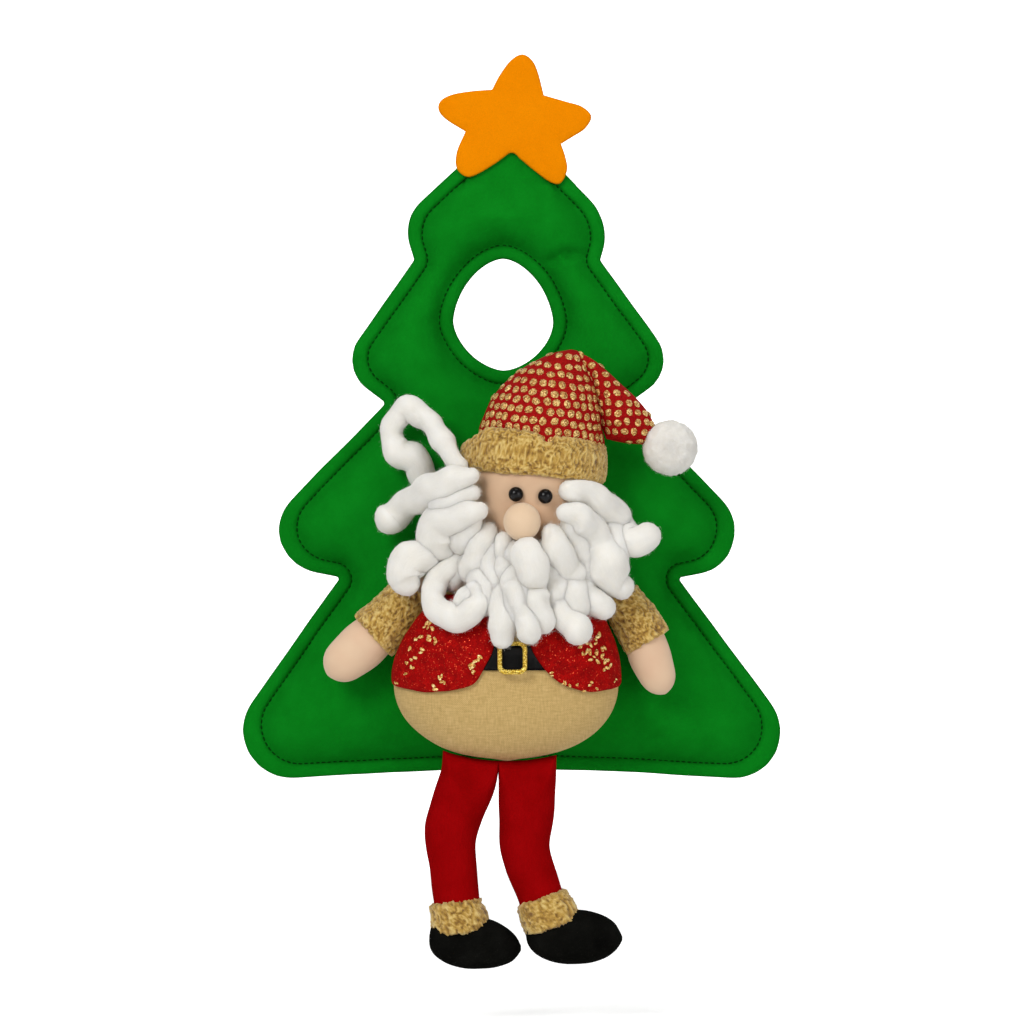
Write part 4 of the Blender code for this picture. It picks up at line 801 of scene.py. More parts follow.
def wool_material(name, dark, light):
    """Loose wool: fine fibres along each lock, with painted shade in its hollows."""
    s = Shader(name)
    along = s.noise(1.0, 5.0, 0.7, vector=s.stretch(s.cloth, (2600.0, 160.0, 1.0)),
                    distortion=0.6)
    fluff = s.noise(900, 4.0, 0.7, distortion=1.5)
    # Painted shade: the relief share, low in the hollows of the displaced surface, darkens the colour
    # there; the along and fluff noises are the fibres' own tone.
    fac = s.math('ADD', s.math('MULTIPLY', along, 0.45),
                 s.math('ADD', s.math('MULTIPLY', fluff, 0.25),
                        s.math('MULTIPLY', s.relief(), 0.35)))
    colour = s.ramp(fac, (0.25, dark), (0.60, light))
    normal = s.bump(along, 0.35, 0.0008)
    normal = s.bump(fluff, 0.25, 0.0008, normal)
    return s.done(colour, normal, 1.0, sheen=0.1, Sheen_Roughness=0.6,
                  Specular_IOR_Level=0.02, Subsurface_Weight=0.7, Subsurface_Scale=WOOL_GLOW,
                  Subsurface_Radius=(1.0, 0.95, 0.85))


def knit_material(name, base, warm):
    """Smooth fine knit, with a warmer tone where the noise swells."""
    s = Shader(name)
    parts = s.split(s.place)
    rows = s.math('SINE', s.math('MULTIPLY', parts[2], 2 * math.pi / 0.0007))
    columns = s.math('SINE', s.math('MULTIPLY', parts[0], 2 * math.pi / 0.0007))
    knit = s.math('MULTIPLY', rows, columns)
    colour = s.mix(s.fade(s.noise(55, 2.0), 0.35, 0.75), base, warm)
    colour = s.mix(s.fade(s.noise(1300, 3.0), 0.3, 0.8, 0.0, 0.12), colour, warm)
    return s.done(colour, s.bump(knit, 0.12, 0.0002), 0.8, sheen=0.3,
                  Specular_IOR_Level=0.25)


def plain_material(name, dark, light, scale, rough, coat=0.0, bump=0.2, specular=0.5):
    """A smooth finish with slight colour variation."""
    s = Shader(name)
    colour = s.ramp(s.noise(scale, 4.0), (0.3, dark), (0.7, light))
    return s.done(colour, s.bump(s.noise(scale * 3, 3.0), bump, 0.0003), rough,
                  Coat_Weight=coat, Specular_IOR_Level=specular)


def smooth_route(points, steps=8):
    """Rows of values on a smooth curve through the given rows."""
    values = np.array([tuple(point) for point in points], float)
    ends = np.vstack((values[:1] * 2 - values[1:2], values, values[-1:] * 2 - values[-2:-1]))
    route = []
    for before, start, stop, after in zip(ends, ends[1:], ends[2:], ends[3:]):
        for step in range(steps):
            t = step / steps
            route.append((
                start * 2 + (stop - before) * t
                + (before * 2 - start * 5 + stop * 4 - after) * t ** 2
                + (start * 3 - before - stop * 3 + after) * t ** 3) / 2)
    route.append(values[-1])
    return np.array(route)


def resample(route, spacing, width=3):
    """Even rows along a route whose first values are a place."""
    steps = np.linalg.norm(np.diff(route[:, :width], axis=0), axis=1)
    lengths = np.concatenate(([0.0], np.cumsum(steps)))
    wanted = np.linspace(0.0, lengths[-1], max(3, round(lengths[-1] / spacing)) + 1)
    return np.stack([np.interp(wanted, lengths, column) for column in route.T], axis=1)


def tube_rings(route, sides, caps=(78, 55, 32, 12)):
    """Rings round a route of (x, y, z, radius) rows, with round ends."""
    centres = [Vector(row[:3]) for row in route]
    last = len(route) - 1
    directions = [
        (centres[min(k + 1, last)] - centres[max(k - 1, 0)]).normalized()
        for k in range(len(route))]
    side = Vector((0.0, -1.0, 0.0))
    stations = []
    for centre, direction, row in zip(centres, directions, route):
        side = (side - direction * side.dot(direction)).normalized()
        stations.append((centre, side, direction.cross(side), row[3]))
    rings = [[centres[0] - directions[0] * route[0][3]]]

    def ring(centre, across, upward, size):
        turns = [2 * math.pi * k / sides for k in range(sides)]
        return [centre + (across * math.cos(t) + upward * math.sin(t)) * size for t in turns]

    def cap_ring(station, outward, degrees):
        centre, across, upward, size = station
        angle = math.radians(degrees)
        return ring(
            centre + outward * size * math.sin(angle), across, upward, size * math.cos(angle))

    rings += [cap_ring(stations[0], -directions[0], degrees) for degrees in caps]
    rings += [ring(*station) for station in stations]
    rings += [cap_ring(stations[-1], directions[-1], degrees) for degrees in reversed(caps)]
    rings.append([centres[-1] + directions[-1] * route[-1][3]])
    return rings


def ball_rings(centre, radius, sides, levels, squash=(1.0, 1.0, 1.0)):
    """Poles and rings of a ball whose poles face front and back."""
    rings = []
    for level in range(levels + 1):
        angle = math.pi * level / levels
        count = 1 if level in (0, levels) else sides
        ring = []
        for k in range(count):
            turn = 2 * math.pi * k / sides
            ring.append(centre + Vector((
                radius * squash[0] * math.sin(angle) * math.cos(turn),
                -radius * squash[1] * math.cos(angle),
                radius * squash[2] * math.sin(angle) * math.sin(turn))))
        rings.append(ring)
    return rings


def joined(name, parts):
    """One mesh of many (points, faces) parts."""
    points, faces = [], []
    for part_points, part_faces in parts:
        start = len(points)
        points += [tuple(point) for point in part_points]
        faces += [tuple(start + k for k in face) for face in part_faces]
    return make_mesh(name, points, faces)


def ring_faces(rings):
    """Points and faces over rings, a ring of one point being a pole."""
    points, faces, starts = [], [], []
    for ring in rings:
        starts.append(len(points))
        points += ring
    for (first, low), (second, high) in zip(
            zip(starts, rings), zip(starts[1:], rings[1:])):
        for k in range(max(len(low), len(high))):
            after = (k + 1) % max(len(low), len(high))
            if len(low) == 1:
                faces.append((first, second + k, second + after))
            elif len(high) == 1:
                faces.append((first + k, second, first + after))
            else:
                faces.append((first + k, second + k, second + after, first + after))
    return points, faces


def rounded_outline(corners, steps):
    """Points of a cornered outline whose corners are (Vector, fillet radius), arcs included."""
    points = []
    for k, (corner, radius) in enumerate(corners):
        before = (corner - corners[k - 1][0]).normalized()
        after = (corners[(k + 1) % len(corners)][0] - corner).normalized()
        turn = before.angle_signed(after)
        reach = radius * math.tan(abs(turn) / 2)
        inward = Vector((before.y, -before.x)) * math.copysign(radius, turn)
        centre = corner - before * reach + inward
        for step in range(steps + 1):
            points.append(centre + Matrix.Rotation(-turn * step / steps, 2) @ -inward)
    return points


def inset_corners(corners, inset):
    """Move every edge of a clockwise cornered outline inward, its tips a little more."""
    moved = []
    for k, (corner, radius) in enumerate(corners):
        before = (corner - corners[k - 1][0]).normalized()
        after = (corners[(k + 1) % len(corners)][0] - corner).normalized()
        inward_before = Vector((before.y, -before.x))
        inward_after = Vector((after.y, -after.x))
        bisector = (inward_before + inward_after).normalized()
        convex = before.angle_signed(after) > 0
        moved.append((
            corner + bisector * inset / bisector.dot(inward_after),
            radius - inset * FILLET_SHRINK if convex else radius + inset))
    return moved


def tree_corners():
    """Clockwise corners of the tree, from the apex down the right side."""
    right = []
    for across, down, fillet in TREE_CORNERS_PX:
        right.append((
            Vector((across * PIXEL, (ORIGIN_PX[1] - down) * PIXEL)), fillet * PIXEL))
    left = [(Vector((-point.x, point.y)), radius) for point, radius in reversed(right[1:-1])]
    shift = Vector(((TREE_CENTRE_PX - ORIGIN_PX[0]) * PIXEL, 0.0))
    return [(point + shift, radius) for point, radius in right + left]


def tree_outline(inset):
    """The tree's outline moved inward, with as many points on each stretch at any inset."""
    base = rounded_outline(tree_corners(), ARC_STEPS)
    line = rounded_outline(inset_corners(tree_corners(), inset), ARC_STEPS)
    points = []
    for k, start in enumerate(line):
        after = (k + 1) % len(line)
        parts = max(1, round((base[after] - base[k]).length / FELT_SPACING))
        points += [start.lerp(line[after], part / parts) for part in range(parts)]
    return points


def hole_outline(outset):
    """The knob hole's outline, moved outward."""
    width, upper, lower = HOLE_SIZE
    points = []
    for k in range(HOLE_STEPS):
        turn = 2 * math.pi * k / HOLE_STEPS
        across, upward = math.sin(turn), math.cos(turn)
        height = upper if upward > 0 else lower
        power = 2 / HOLE_ROUNDNESS
        points.append(Vector((
            math.copysign(abs(across) ** power, across) * (width / 2 + outset),
            math.copysign(abs(upward) ** power, upward) * (height + outset) - upper)))
    return points


def inside_many(points, outline):
    """Which of an array of flat points lie inside an outline."""
    odd = np.zeros(len(points), bool)
    for start, stop in zip(outline, outline[1:] + outline[:1]):
        crosses = (start.y > points[:, 1]) != (stop.y > points[:, 1])
        if crosses.any():
            level = (points[:, 1] - start.y) / (stop.y - start.y)
            odd ^= crosses & (points[:, 0] < start.x + level * (stop.x - start.x))
    return odd


def solve_puff(outer, hole):
    """Height shares on a grid of a sheet held down at its seams and borne up between them."""
    edge = np.array([tuple(point) for point in outer])
    low, high = edge.min(axis=0) - GRID * 2, edge.max(axis=0) + GRID * 2
    xs, zs = np.arange(low[0], high[0], GRID), np.arange(low[1], high[1], GRID)
    flat = np.stack(np.meshgrid(xs, zs), axis=-1).reshape(-1, 2)
    free = (inside_many(flat, outer) & ~inside_many(flat, hole)).reshape(len(zs), len(xs))
    lift = (GRID / PUFF_REACH) ** 2
    rise = np.zeros(free.shape)
    for _ in range(GRID_ROUNDS):
        near = (np.roll(rise, 1, 0) + np.roll(rise, -1, 0)
                + np.roll(rise, 1, 1) + np.roll(rise, -1, 1))
        rise = np.where(free, (near + lift) / (4 + lift), 0.0)

    def height(x, z):
        across, upward = (x - low[0]) / GRID, (z - low[1]) / GRID
        column, row = int(across), int(upward)
        s, t = across - column, upward - row
        return ((rise[row, column] * (1 - s) + rise[row, column + 1] * s) * (1 - t)
                + (rise[row + 1, column] * (1 - s) + rise[row + 1, column + 1] * s) * t)

    return height


def hex_points(outer, hole, spacing, margin):
    """Staggered points between an outline and a hole, kept clear of both."""
    edge = np.array([tuple(point) for point in outer])
    low, high = edge.min(axis=0), edge.max(axis=0)
    rows = []
    step = spacing * math.sqrt(3) / 2
    for row in range(int((high[1] - low[1]) / step) + 1):
        xs = np.arange(low[0] + (row % 2) * spacing / 2, high[0], spacing)
        rows.append(np.stack((xs, np.full(len(xs), low[1] + row * step)), axis=1))
    points = np.concatenate(rows)
    borders = np.array([tuple(point) for point in outer + hole])
    points = points[inside_many(points, outer) & ~inside_many(points, hole)]
    clear = [np.hypot(*(borders - point).T).min() > margin for point in points]
    return [Vector(point) for point in points[clear]]


def fill(outer, hole, extra):
    """Triangles between an outline and a hole; the outline's points come first."""
    edges = [(k, (k + 1) % len(outer)) for k in range(len(outer))]
    start = len(outer)
    edges += [(start + k, start + (k + 1) % len(hole)) for k in range(len(hole))]
    placed, _, faces, _, _, _ = delaunay_2d_cdt(
        outer + hole + extra, edges, [], 0, MERGE_DISTANCE)
    middles = np.array([tuple(sum((placed[k] for k in face), Vector((0.0, 0.0))) / 3)
                        for face in faces])
    keep = inside_many(middles, outer) & ~inside_many(middles, hole)
    return placed, [tuple(face) for face, kept in zip(faces, keep) if kept]


def strip(first, second, faces, around=True):
    """Faces between two rings of point numbers."""
    for k in range(len(first) - (not around)):
        after = (k + 1) % len(first)
        faces.append((first[k], first[after], second[after], second[k]))


def build_front(seam, hole_seam):
    """The front felt, stuffed between its seams, with a soft folded edge outside them."""
    puff = solve_puff(seam, hole_seam)
    extra = hex_points(seam, hole_seam, FELT_SPACING, FELT_SPACING * FELT_MARGIN)
    placed, faces = fill(seam, hole_seam, extra)
    rim = len(seam) + len(hole_seam)
    crease = resample(smooth_route([at(*px) for px in CREASE_PX]), CREASE_SPACING)[:, (0, 2)]
    draw, reach = CREASE
    points = []
    for number, place in enumerate(placed):
        height = puff(place.x, place.y) if number >= rim else 0.0
        gap = np.hypot(crease[:, 0] - place.x, crease[:, 1] - place.y).min()
        height *= 1 - draw * math.exp(-(gap / reach) ** 2)
        lumps = noise.noise(Vector((place.x, place.y, LUMP_SLICE)) * LUMP_SCALE) * LUMP * height
        points.append(Vector((place.x, -(SEAM_FRONT + PUFF * height + lumps), place.y)))
    rings = [list(range(len(seam)))]
    hole_rings = [list(range(len(seam), rim))]
    for inset, depth in FLANGE_PROFILE:
        for group, line in ((rings, tree_outline(inset)), (hole_rings, hole_outline(inset))):
            group.append(list(range(len(points), len(points) + len(line))))
            points += [Vector((place.x, -depth, place.y)) for place in line]
    for group in (rings, hole_rings):
        for first, second in zip(group, group[1:]):
            strip(first, second, faces)
    last_inset = FLANGE_PROFILE[-1][0]
    _, under_faces = fill(tree_outline(last_inset), hole_outline(last_inset), [])
    numbers = rings[-1] + hole_rings[-1]
    faces += [tuple(numbers[k] for k in face) for face in under_faces]
    front = make_mesh("tree_front", points, faces)
    face_outward(front)
    free = set(range(rim, len(placed)))
    sewn = [k for k in range(len(points)) if k not in free]
    blow_up(front, pressure=3.0, cap=0.004, pinned=sewn, stiffness=8.0)
    subdivide(front)
    wobble_felt(front)
    tuck_under_star(front)
    dress(front, materials["felt_green"], "felt_green", ROOT,
          "tree_front_felt", "tree_stuffing")
    return front


def build_back():
    """The flat back felt, its cut edge a little rounded."""
    line, hole = tree_outline(BACK_INSET), hole_outline(BACK_INSET)
    extra = hex_points(line, hole, BACK_SPACING, BACK_SPACING / 2)
    flat, flat_faces = fill(line, hole, extra)
    points, faces = [], []
    for depth in (BACK_FELT, 0.0):
        start = len(points)
        points += [Vector((place.x, -depth, place.y)) for place in flat]
        faces += [tuple(start + k for k in face) for face in flat_faces]
    for start, outer in ((0, tree_outline(0.0)), (len(line), hole_outline(0.0))):
        edge = list(range(start, start + len(outer)))
        middle = list(range(len(points), len(points) + len(outer)))
        points += [Vector((place.x, -BACK_FELT / 2, place.y)) for place in outer]
        strip(edge, middle, faces)
        strip(middle, [k + len(flat) for k in edge], faces)
    back = make_mesh("tree_back", points, faces)
    face_outward(back)
    subdivide(back)
    wobble_felt(back)
    dress(back, materials["felt_green"], "felt_green", ROOT, "tree_back_felt")


def build_tree():
    """The stuffed front felt, the back felt and the seam stitches."""
    seam, hole_seam = tree_outline(FLANGE), hole_outline(FLANGE)
    front = build_front(seam, hole_seam)
    build_back()
    for name, node, line in (("edge_stitches", "tree_edge_stitching", seam),
                             ("hole_stitches", "knob_hole_stitching", hole_seam)):
        threads = stitches(name, line)
        wobble_felt(threads)
        dress(threads, materials["thread_green"], "thread_green", ROOT, node)
    return front


def wobble_felt(piece):
    """The slight waver of hand-cut felt, alike for all that lies at one place."""
    for vertex in piece.data.vertices:
        spot = Vector((vertex.co.x, 0.0, vertex.co.z))
        shift = Vector()
        for scale, reach in WAVERS:
            shift += noise.noise_vector(spot * scale) * reach
        row = ORIGIN_PX[1] - vertex.co.z / PIXEL
        shift.x += np.interp(row, *TIER_SHIFT_PX) * PIXEL
        vertex.co += Vector((shift.x, 0.0, shift.z))


def stitches(name, line):
    """Short raised threads along a closed seam, on its front and its back."""
    closed = np.array([tuple(point) for point in line + line[:1]])
    length, width, gap = STITCH
    even = resample(closed, (length + gap) / STITCH_STEPS, 2)
    parts = []
    for first in range(0, len(even) - STITCH_STEPS, STITCH_STEPS):
        for depth, forward in ((SEAM_FRONT, 1), (0.0, -1)):
            route = []
            for k in range(STITCH_STEPS):
                x, z = even[first + k]
                arch = math.sin(math.pi * k / (STITCH_STEPS - 1))
                lift = arch * width * STITCH_ARCH + width * STITCH_LIFT
                route.append((x, -depth - forward * lift, z, width / 2))
            rings = tube_rings(np.array(route), STITCH_SIDES, STITCH_CAPS)
            parts.append(ring_faces(rings))
    return joined(name, parts)


def build_star():
    """The flat star, its edge softly rounded."""
    outline = []
    count = len(STAR_ARMS_PX)
    for number, (corner, arm) in enumerate(STAR_ARMS_PX):
        following = STAR_ARMS_PX[(number + 1) % count][0]
        curve = resample(smooth_route([corner, *arm, following]), STAR_STEP_PX, 2)[:-1]
        outline += [at(px, py).xz for px, py in curve]
    outline = outline[::-1] if turns_left(outline) else outline
    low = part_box("star")[0]
    points, faces, rings = [], [], []
    for inset, depth in STAR_PROFILE:
        rings.append(list(range(len(points), len(points) + len(outline))))
        points += [star_point(place, depth, low) for place in shrunk(outline, inset)]
    for first, second in zip(rings, rings[1:]):
        strip(first, second, faces)
    for ring, (inset, depth) in zip(rings[::len(rings) - 1], STAR_PROFILE[::len(rings) - 1]):
        line = shrunk(outline, inset)
        extra = hex_points(line, [], STAR_SPACING, STAR_SPACING / 2)
        flat, flat_faces = fill(line, [], extra)
        numbers = list(ring)
        for place in flat[len(line):]:
            numbers.append(len(points))
            points.append(star_point(place, depth, low))
        faces += [tuple(numbers[k] for k in face) for face in flat_faces]
    star = make_mesh("star_felt", points, faces)
    face_outward(star)
    dress(star, materials["felt_orange"], "felt_orange", ROOT, "star")


def tuck_under_star(felt):
    """Keep the stuffed front behind the star on its tip."""
    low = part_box("star")[0]
    for vertex in felt.data.vertices:
        below = max(low.z - vertex.co.z, 0.0)
        back = star_point(vertex.co.xz, 0.0, low).y + STAR_GAP
        vertex.co.y = max(vertex.co.y, back - below * STAR_SLOPE)


def star_point(place, depth, low):
    """A point of the star in its leaning plane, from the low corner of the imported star."""
    lean = math.tan(math.radians(STAR_LEAN_DEGREES))
    return Vector((place.x, low.y + (place.y - low.z) * lean + STAR_THICKNESS - depth, place.y))


def turns_left(outline):
    """Whether a flat outline runs anticlockwise."""
    total = 0.0
    for first, second in zip(outline, outline[1:] + outline[:1]):
        total += first.x * second.y - second.x * first.y
    return total > 0


def shrunk(outline, inset):
    """A clockwise outline moved a little inward along its normals."""
    moved = []
    for k, point in enumerate(outline):
        along = (outline[(k + 1) % len(outline)] - outline[k - 1]).normalized()
        moved.append(point + Vector((along.y, -along.x)) * inset)
    return moved


def power_pair(angle, roundness):
    """Cosine and sine of a rounded-square section."""
    power = 2 / roundness
    pair = (math.cos(angle), math.sin(angle))
    return [math.copysign(abs(value) ** power, value) for value in pair]


def torso_point(rise, turn, grow):
    """A point on the torso, grown outward, at a rise angle and a turn from straight ahead."""
    roundness = TORSO_ROUNDNESS if rise < 0 else 2.0
    share, upward = power_pair(rise, roundness)
    height = TORSO_HEIGHTS[0] if rise > 0 else TORSO_HEIGHTS[1]
    lean = NECK_LEAN * max(upward, 0.0) ** 2
    return Vector((
        TORSO.x + lean + (TORSO_WIDTH / 2 + grow) * share * math.sin(turn),
        TORSO.y - (TORSO_DEPTH + grow) * share * math.cos(turn),
        TORSO.z + (height + grow) * upward))


def torso_rise(height):
    """The rise angle of a height above the torso's widest level."""
    if height < 0:
        share = min(-height / TORSO_HEIGHTS[1], 1.0)
        return -math.asin(share ** (TORSO_ROUNDNESS / 2))
    return math.asin(min(height / TORSO_HEIGHTS[0], 1.0))


def build_torso():
    """The burlap cover over its filling, full below and drawn in at the neck."""
    rings = [[torso_point(-math.pi / 2, 0.0, 0.0)]]
    top = math.radians(NECK_RISE)
    for level in range(1, TORSO_LEVELS):
        rise = -math.pi / 2 + (top + math.pi / 2) * level / (TORSO_LEVELS - 1)
        ring = []
        for k in range(TORSO_SIDES):
            point = torso_point(rise, 2 * math.pi * k / TORSO_SIDES, -SWELL)
            point.y = min(point.y, TREE_FRONT - SWELL)
            ring.append(point)
        rings.append(ring)
    neck = sum(rings[-1], Vector()) / TORSO_SIDES
    rings.append([neck + Vector((0.0, 0.0, NECK_TOP))])
    torso = skin("torso_burlap", rings)
    blow_up(torso, pressure=4.0, cap=SWELL * 1.5)
    for vertex in torso.data.vertices:
        vertex.co.y = min(vertex.co.y, TREE_FRONT)
        slump = noise.noise(vertex.co * 40) * 0.0006
        vertex.co += vertex.normal * slump
    subdivide(torso)
    weave_map(torso)
    dress(torso, materials["burlap"], "burlap", ROOT, "torso_cover", "torso_stuffing")
    return torso


def weave_map(torso):
    """Lay the weave on the torso as if its yarns ran straight up and straight across."""
    layer = torso.data.uv_layers[0]
    wide, tall = WEAVE_REACH
    for loop in torso.data.loops:
        spot = torso.data.vertices[loop.vertex_index].co
        across = max(-1.0, min(1.0, (spot.x - TORSO.x) / wide))
        upward = max(-1.0, min(1.0, (spot.z - TORSO.z) / tall))
        layer.data[loop.index].uv = (wide * math.asin(across), tall * math.asin(upward))


def surface_of(*pieces):
    """One tree of the faces of several pieces."""
    points, faces = [], []
    for piece in pieces:
        start = len(points)
        points += [vertex.co.copy() for vertex in piece.data.vertices]
        faces += [[start + k for k in polygon.vertices] for polygon in piece.data.polygons]
    return BVHTree.FromPolygons(points, faces)


def lifted(surface, point, clearance):
    """The point, moved out along the surface's normal where it lies lower than a clearance."""
    place, normal, _, _ = surface.find_nearest(point)
    if normal is None:
        return point
    height = (point - place).dot(normal)
    return point + normal * (clearance - height) if height < clearance else point


def padded_patch(name, surface, rows, base, thickness, roundness):
    """A soft closed sheet over a surface: a grid of points, thickest away from its edges."""
    height, width = len(rows), len(rows[0])
    points, faces = [], []
    for top in (0, 1):
        for r, row in enumerate(rows):
            for c, point in enumerate(row):
                edge = max(abs(2 * r / (height - 1) - 1), abs(2 * c / (width - 1) - 1))
                rounding = (1 - edge ** roundness) ** 0.5
                rise = base + top * thickness * max(rounding, RIM_SHARE)
                points.append(lifted(surface, point, rise))
    for top in (0, 1):
        start = top * height * width
        for r in range(height - 1):
            for c in range(width - 1):
                k = start + r * width + c
                faces.append((k, k + 1, k + width + 1, k + width))
    rim = list(range(width)) + [r * width + width - 1 for r in range(1, height)]
    rim += [(height - 1) * width + c for c in range(width - 2, -1, -1)]
    rim += [r * width for r in range(height - 2, 0, -1)]
    for k, first in enumerate(rim):
        second = rim[(k + 1) % len(rim)]
        lower = height * width
        faces.append((first, second, second + lower, first + lower))
    piece = make_mesh(name, points, faces)
    face_outward(piece)
    return piece


def build_belt(torso):
    """The vinyl belt round the torso's front."""
    turns = np.radians(np.linspace(-BELT_TURN, BELT_TURN, BELT_STEPS))
    rows = []
    for height in np.linspace(*BELT_HEIGHTS, BELT_LEVELS):
        rows.append([torso_point(torso_rise(height), turn, 0.0) for turn in turns])
    belt = padded_patch("belt_strap", surface_of(torso), rows, BELT_BASE, BELT_THICKNESS, 14)
    dress(belt, materials["belt_vinyl"], "belt_vinyl", ROOT, "belt")


def build_buckle():
    """The buckle's frame of small gold beads on a flat bar."""
    low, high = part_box("belt_buckle")
    middle = (low + high) / 2
    width, height = BUCKLE_SIZE
    corners = [(Vector((x * width / 2, z * height / 2)), BUCKLE_CORNER)
               for x, z in ((1, 1), (1, -1), (-1, -1), (-1, 1))]
    line = rounded_outline(corners, 8)
    closed = np.array([tuple(point) for point in line + line[:1]])
    tilt = Matrix.Rotation(-math.radians(BUCKLE_LEAN), 4, 'X')

    def placed(x, z, forward):
        return middle + tilt @ Vector((x, -forward, z))

    bar = [placed(x, z, 0.0) for x, z in resample(closed, 0.0008, 2)[:-1]]
    forward = tilt @ Vector((0.0, -1.0, 0.0))
    rings = []
    for k, centre in enumerate(bar):
        along = (bar[(k + 1) % len(bar)] - bar[k - 1]).normalized()
        across = along.cross(forward).normalized()
        rings.append([
            centre + across * math.cos(t) * BUCKLE_BAR / 2
            + forward * math.sin(t) * BUCKLE_BAR * BAR_FLATNESS / 2
            for t in np.linspace(0, 2 * math.pi, 10, endpoint=False)])
    parts = [ring_faces(rings + rings[:1])]
    for scale, lift in BUCKLE_ROWS:
        for x, z in resample(closed * scale, BUCKLE_BEAD * BEAD_PACKING, 2)[:-1]:
            parts.append(ring_faces(ball_rings(placed(x, z, lift), BUCKLE_BEAD / 2, 8, 5)))
    buckle = joined("buckle_beads", parts)
    dress(buckle, materials["buckle_gold"], "buckle_gold", ROOT, "belt_buckle")


def build_vest(torso):
    """Two glitter panels with soft turned edges, each with sprigs of gold flakes."""
    surface = surface_of(torso)
    panels = []
    for word, table in (("left", LEFT_VEST_SHARES), ("right", RIGHT_VEST_SHARES)):
        rows = []
        for level, inner, outer in resample(smooth_route(table), VEST_ROW_SHARE, 3):
            row = []
            for share in np.linspace(0.0, 1.0, VEST_COLUMNS):
                across = inner + (outer * VEST_WRAP - inner) * share
                bow = math.sin(math.pi * share) * (1 - level)
                height = level * VEST_HEIGHT - VEST_DROP * (1 + bow) / 2
                row.append(torso_point(torso_rise(height), math.asin(across), 0.0))
            rows.append(row)
        name = "vest_%s_cloth" % word
        panel = padded_patch(name, surface, rows, VEST_BASE, VEST_THICKNESS, 8)
        roughen(panel, uneven(110, 0.0007))
        subdivide(panel)
        dress(panel, materials["vest_cloth"], "vest_cloth", ROOT, "vest_%s_panel" % word)
        panels.append(panel)
    front = surface_of(*panels)
    flakes = []
    rng = random.Random(FLAKE_SEED)
    for px, py, size in VEST_FLAKES_PX:
        for _ in range(FLAKES_TOGETHER):
            shift = size * FLAKE_SCATTER
            spot = at(px + rng.uniform(-1, 1) * shift, py + rng.uniform(-1, 1) * shift, FRONT_Y)
            place, normal, _, _ = front.ray_cast(spot, BACKWARD)
            if place is None:
                continue
            reach = size * FLAKE_GROW * PIXEL * rng.uniform(0.7, 1.1)
            flakes.append(flake(place + normal * 0.0002, normal, reach, rng, FLAKE_ASPECT))
    sprigs = joined("vest_flakes", flakes)
    dress(sprigs, materials["flake_gold"], "buckle_gold", ROOT)
    return panels


def flake(place, normal, size, rng, aspect):
    """A small crinkled gold flake that lies on a surface."""
    side = Matrix.Rotation(rng.uniform(0, math.pi), 3, normal) @ normal.orthogonal().normalized()
    other = normal.cross(side)
    spin = rng.uniform(0, math.pi)
    rings = []
    for share, rise in FLAKE_PROFILE:
        ring = []
        for k in range(FLAKE_SIDES):
            turn = spin + 2 * math.pi * k / FLAKE_SIDES
            reach = size / 2 * share * (0.82 + 0.18 * rng.random())
            crinkle = rng.uniform(-0.08, 0.08) * (share < 1)
            ring.append(
                place + side * math.cos(turn) * reach + other * math.sin(turn) * reach * aspect
                + normal * (rise + crinkle) * size * FLAKE_BULGE)
        rings.append(ring)
    rings.append([place + normal * size * FLAKE_TOP])
    points, faces = ring_faces(rings)
    faces.append(tuple(range(FLAKE_SIDES))[::-1])
    return points, faces


def head_section(height, grow):
    """Half width and front half depth of the head, grown outward, at a height."""
    width, upper, lower, depth = HEAD_SIZE
    reach = upper if height > HEAD.z else lower
    share = math.sqrt(max(0.0, 1 - ((height - HEAD.z) / (reach + grow)) ** 2))
    return (width / 2 + grow) * share, (depth + grow) * share


def build_head():
    """The stuffed head with its ball nose and two glossy bead eyes."""
    width, upper, lower, depth = HEAD_SIZE
    rings = []
    for level in range(HEAD_LEVELS + 1):
        rise = math.pi * (level / HEAD_LEVELS - 1 / 2)
        reach = upper if rise > 0 else lower
        count = 1 if level in (0, HEAD_LEVELS) else HEAD_SIDES
        ring = []
        for k in range(count):
            turn = 2 * math.pi * k / HEAD_SIDES
            ring.append(Vector((
                HEAD.x + (width / 2 - HEAD_SWELL) * math.cos(rise) * math.sin(turn),
                min(HEAD.y - (depth - HEAD_SWELL) * math.cos(rise) * math.cos(turn),
                    CROWN_BACK - HEAD_BACK_GAP),
                HEAD.z + (reach - HEAD_SWELL) * math.sin(rise))))
        rings.append(ring)
    head = skin("head_ball", rings)
    blow_up(head, pressure=4.0, cap=HEAD_SWELL * 1.6)
    subdivide(head)
    dress(head, materials["skin_cloth"], "skin_cloth", ROOT, "head")
    face = surface_of(head)

    centre, radius = seat_ball(face, NOSE_PX, NOSE_SEAT)
    nose = skin("nose_ball", ball_rings(centre, radius, 36, 24, NOSE_SHAPE))
    roughen(nose, uneven(160, 0.00025))
    dress(nose, materials["nose_cloth"], "skin_cloth", ROOT, "nose")

    for word, spot in (("left", EYES_PX[0]), ("right", EYES_PX[1])):
        centre, radius = seat_ball(face, spot, EYE_SEAT)
        eye = skin("eye_%s_bead" % word, ball_rings(centre, radius, 32, 20, EYE_SHAPE))
        dress(eye, materials["bead_black"], "bead_black", ROOT, "eye_" + word)
        dimple(head, centre, radius * DIMPLE_SHARES[0], radius * DIMPLE_SHARES[1])
    return head, nose


def seat_ball(face, spot, seat):
    """Middle and radius of a ball on the face, its middle a share of its radius in front."""
    px, py, size = spot
    radius = size * PIXEL
    place = face.ray_cast(at(px, py, FRONT_Y), BACKWARD)[0]
    return place + Vector((0.0, -radius * seat, 0.0)), radius


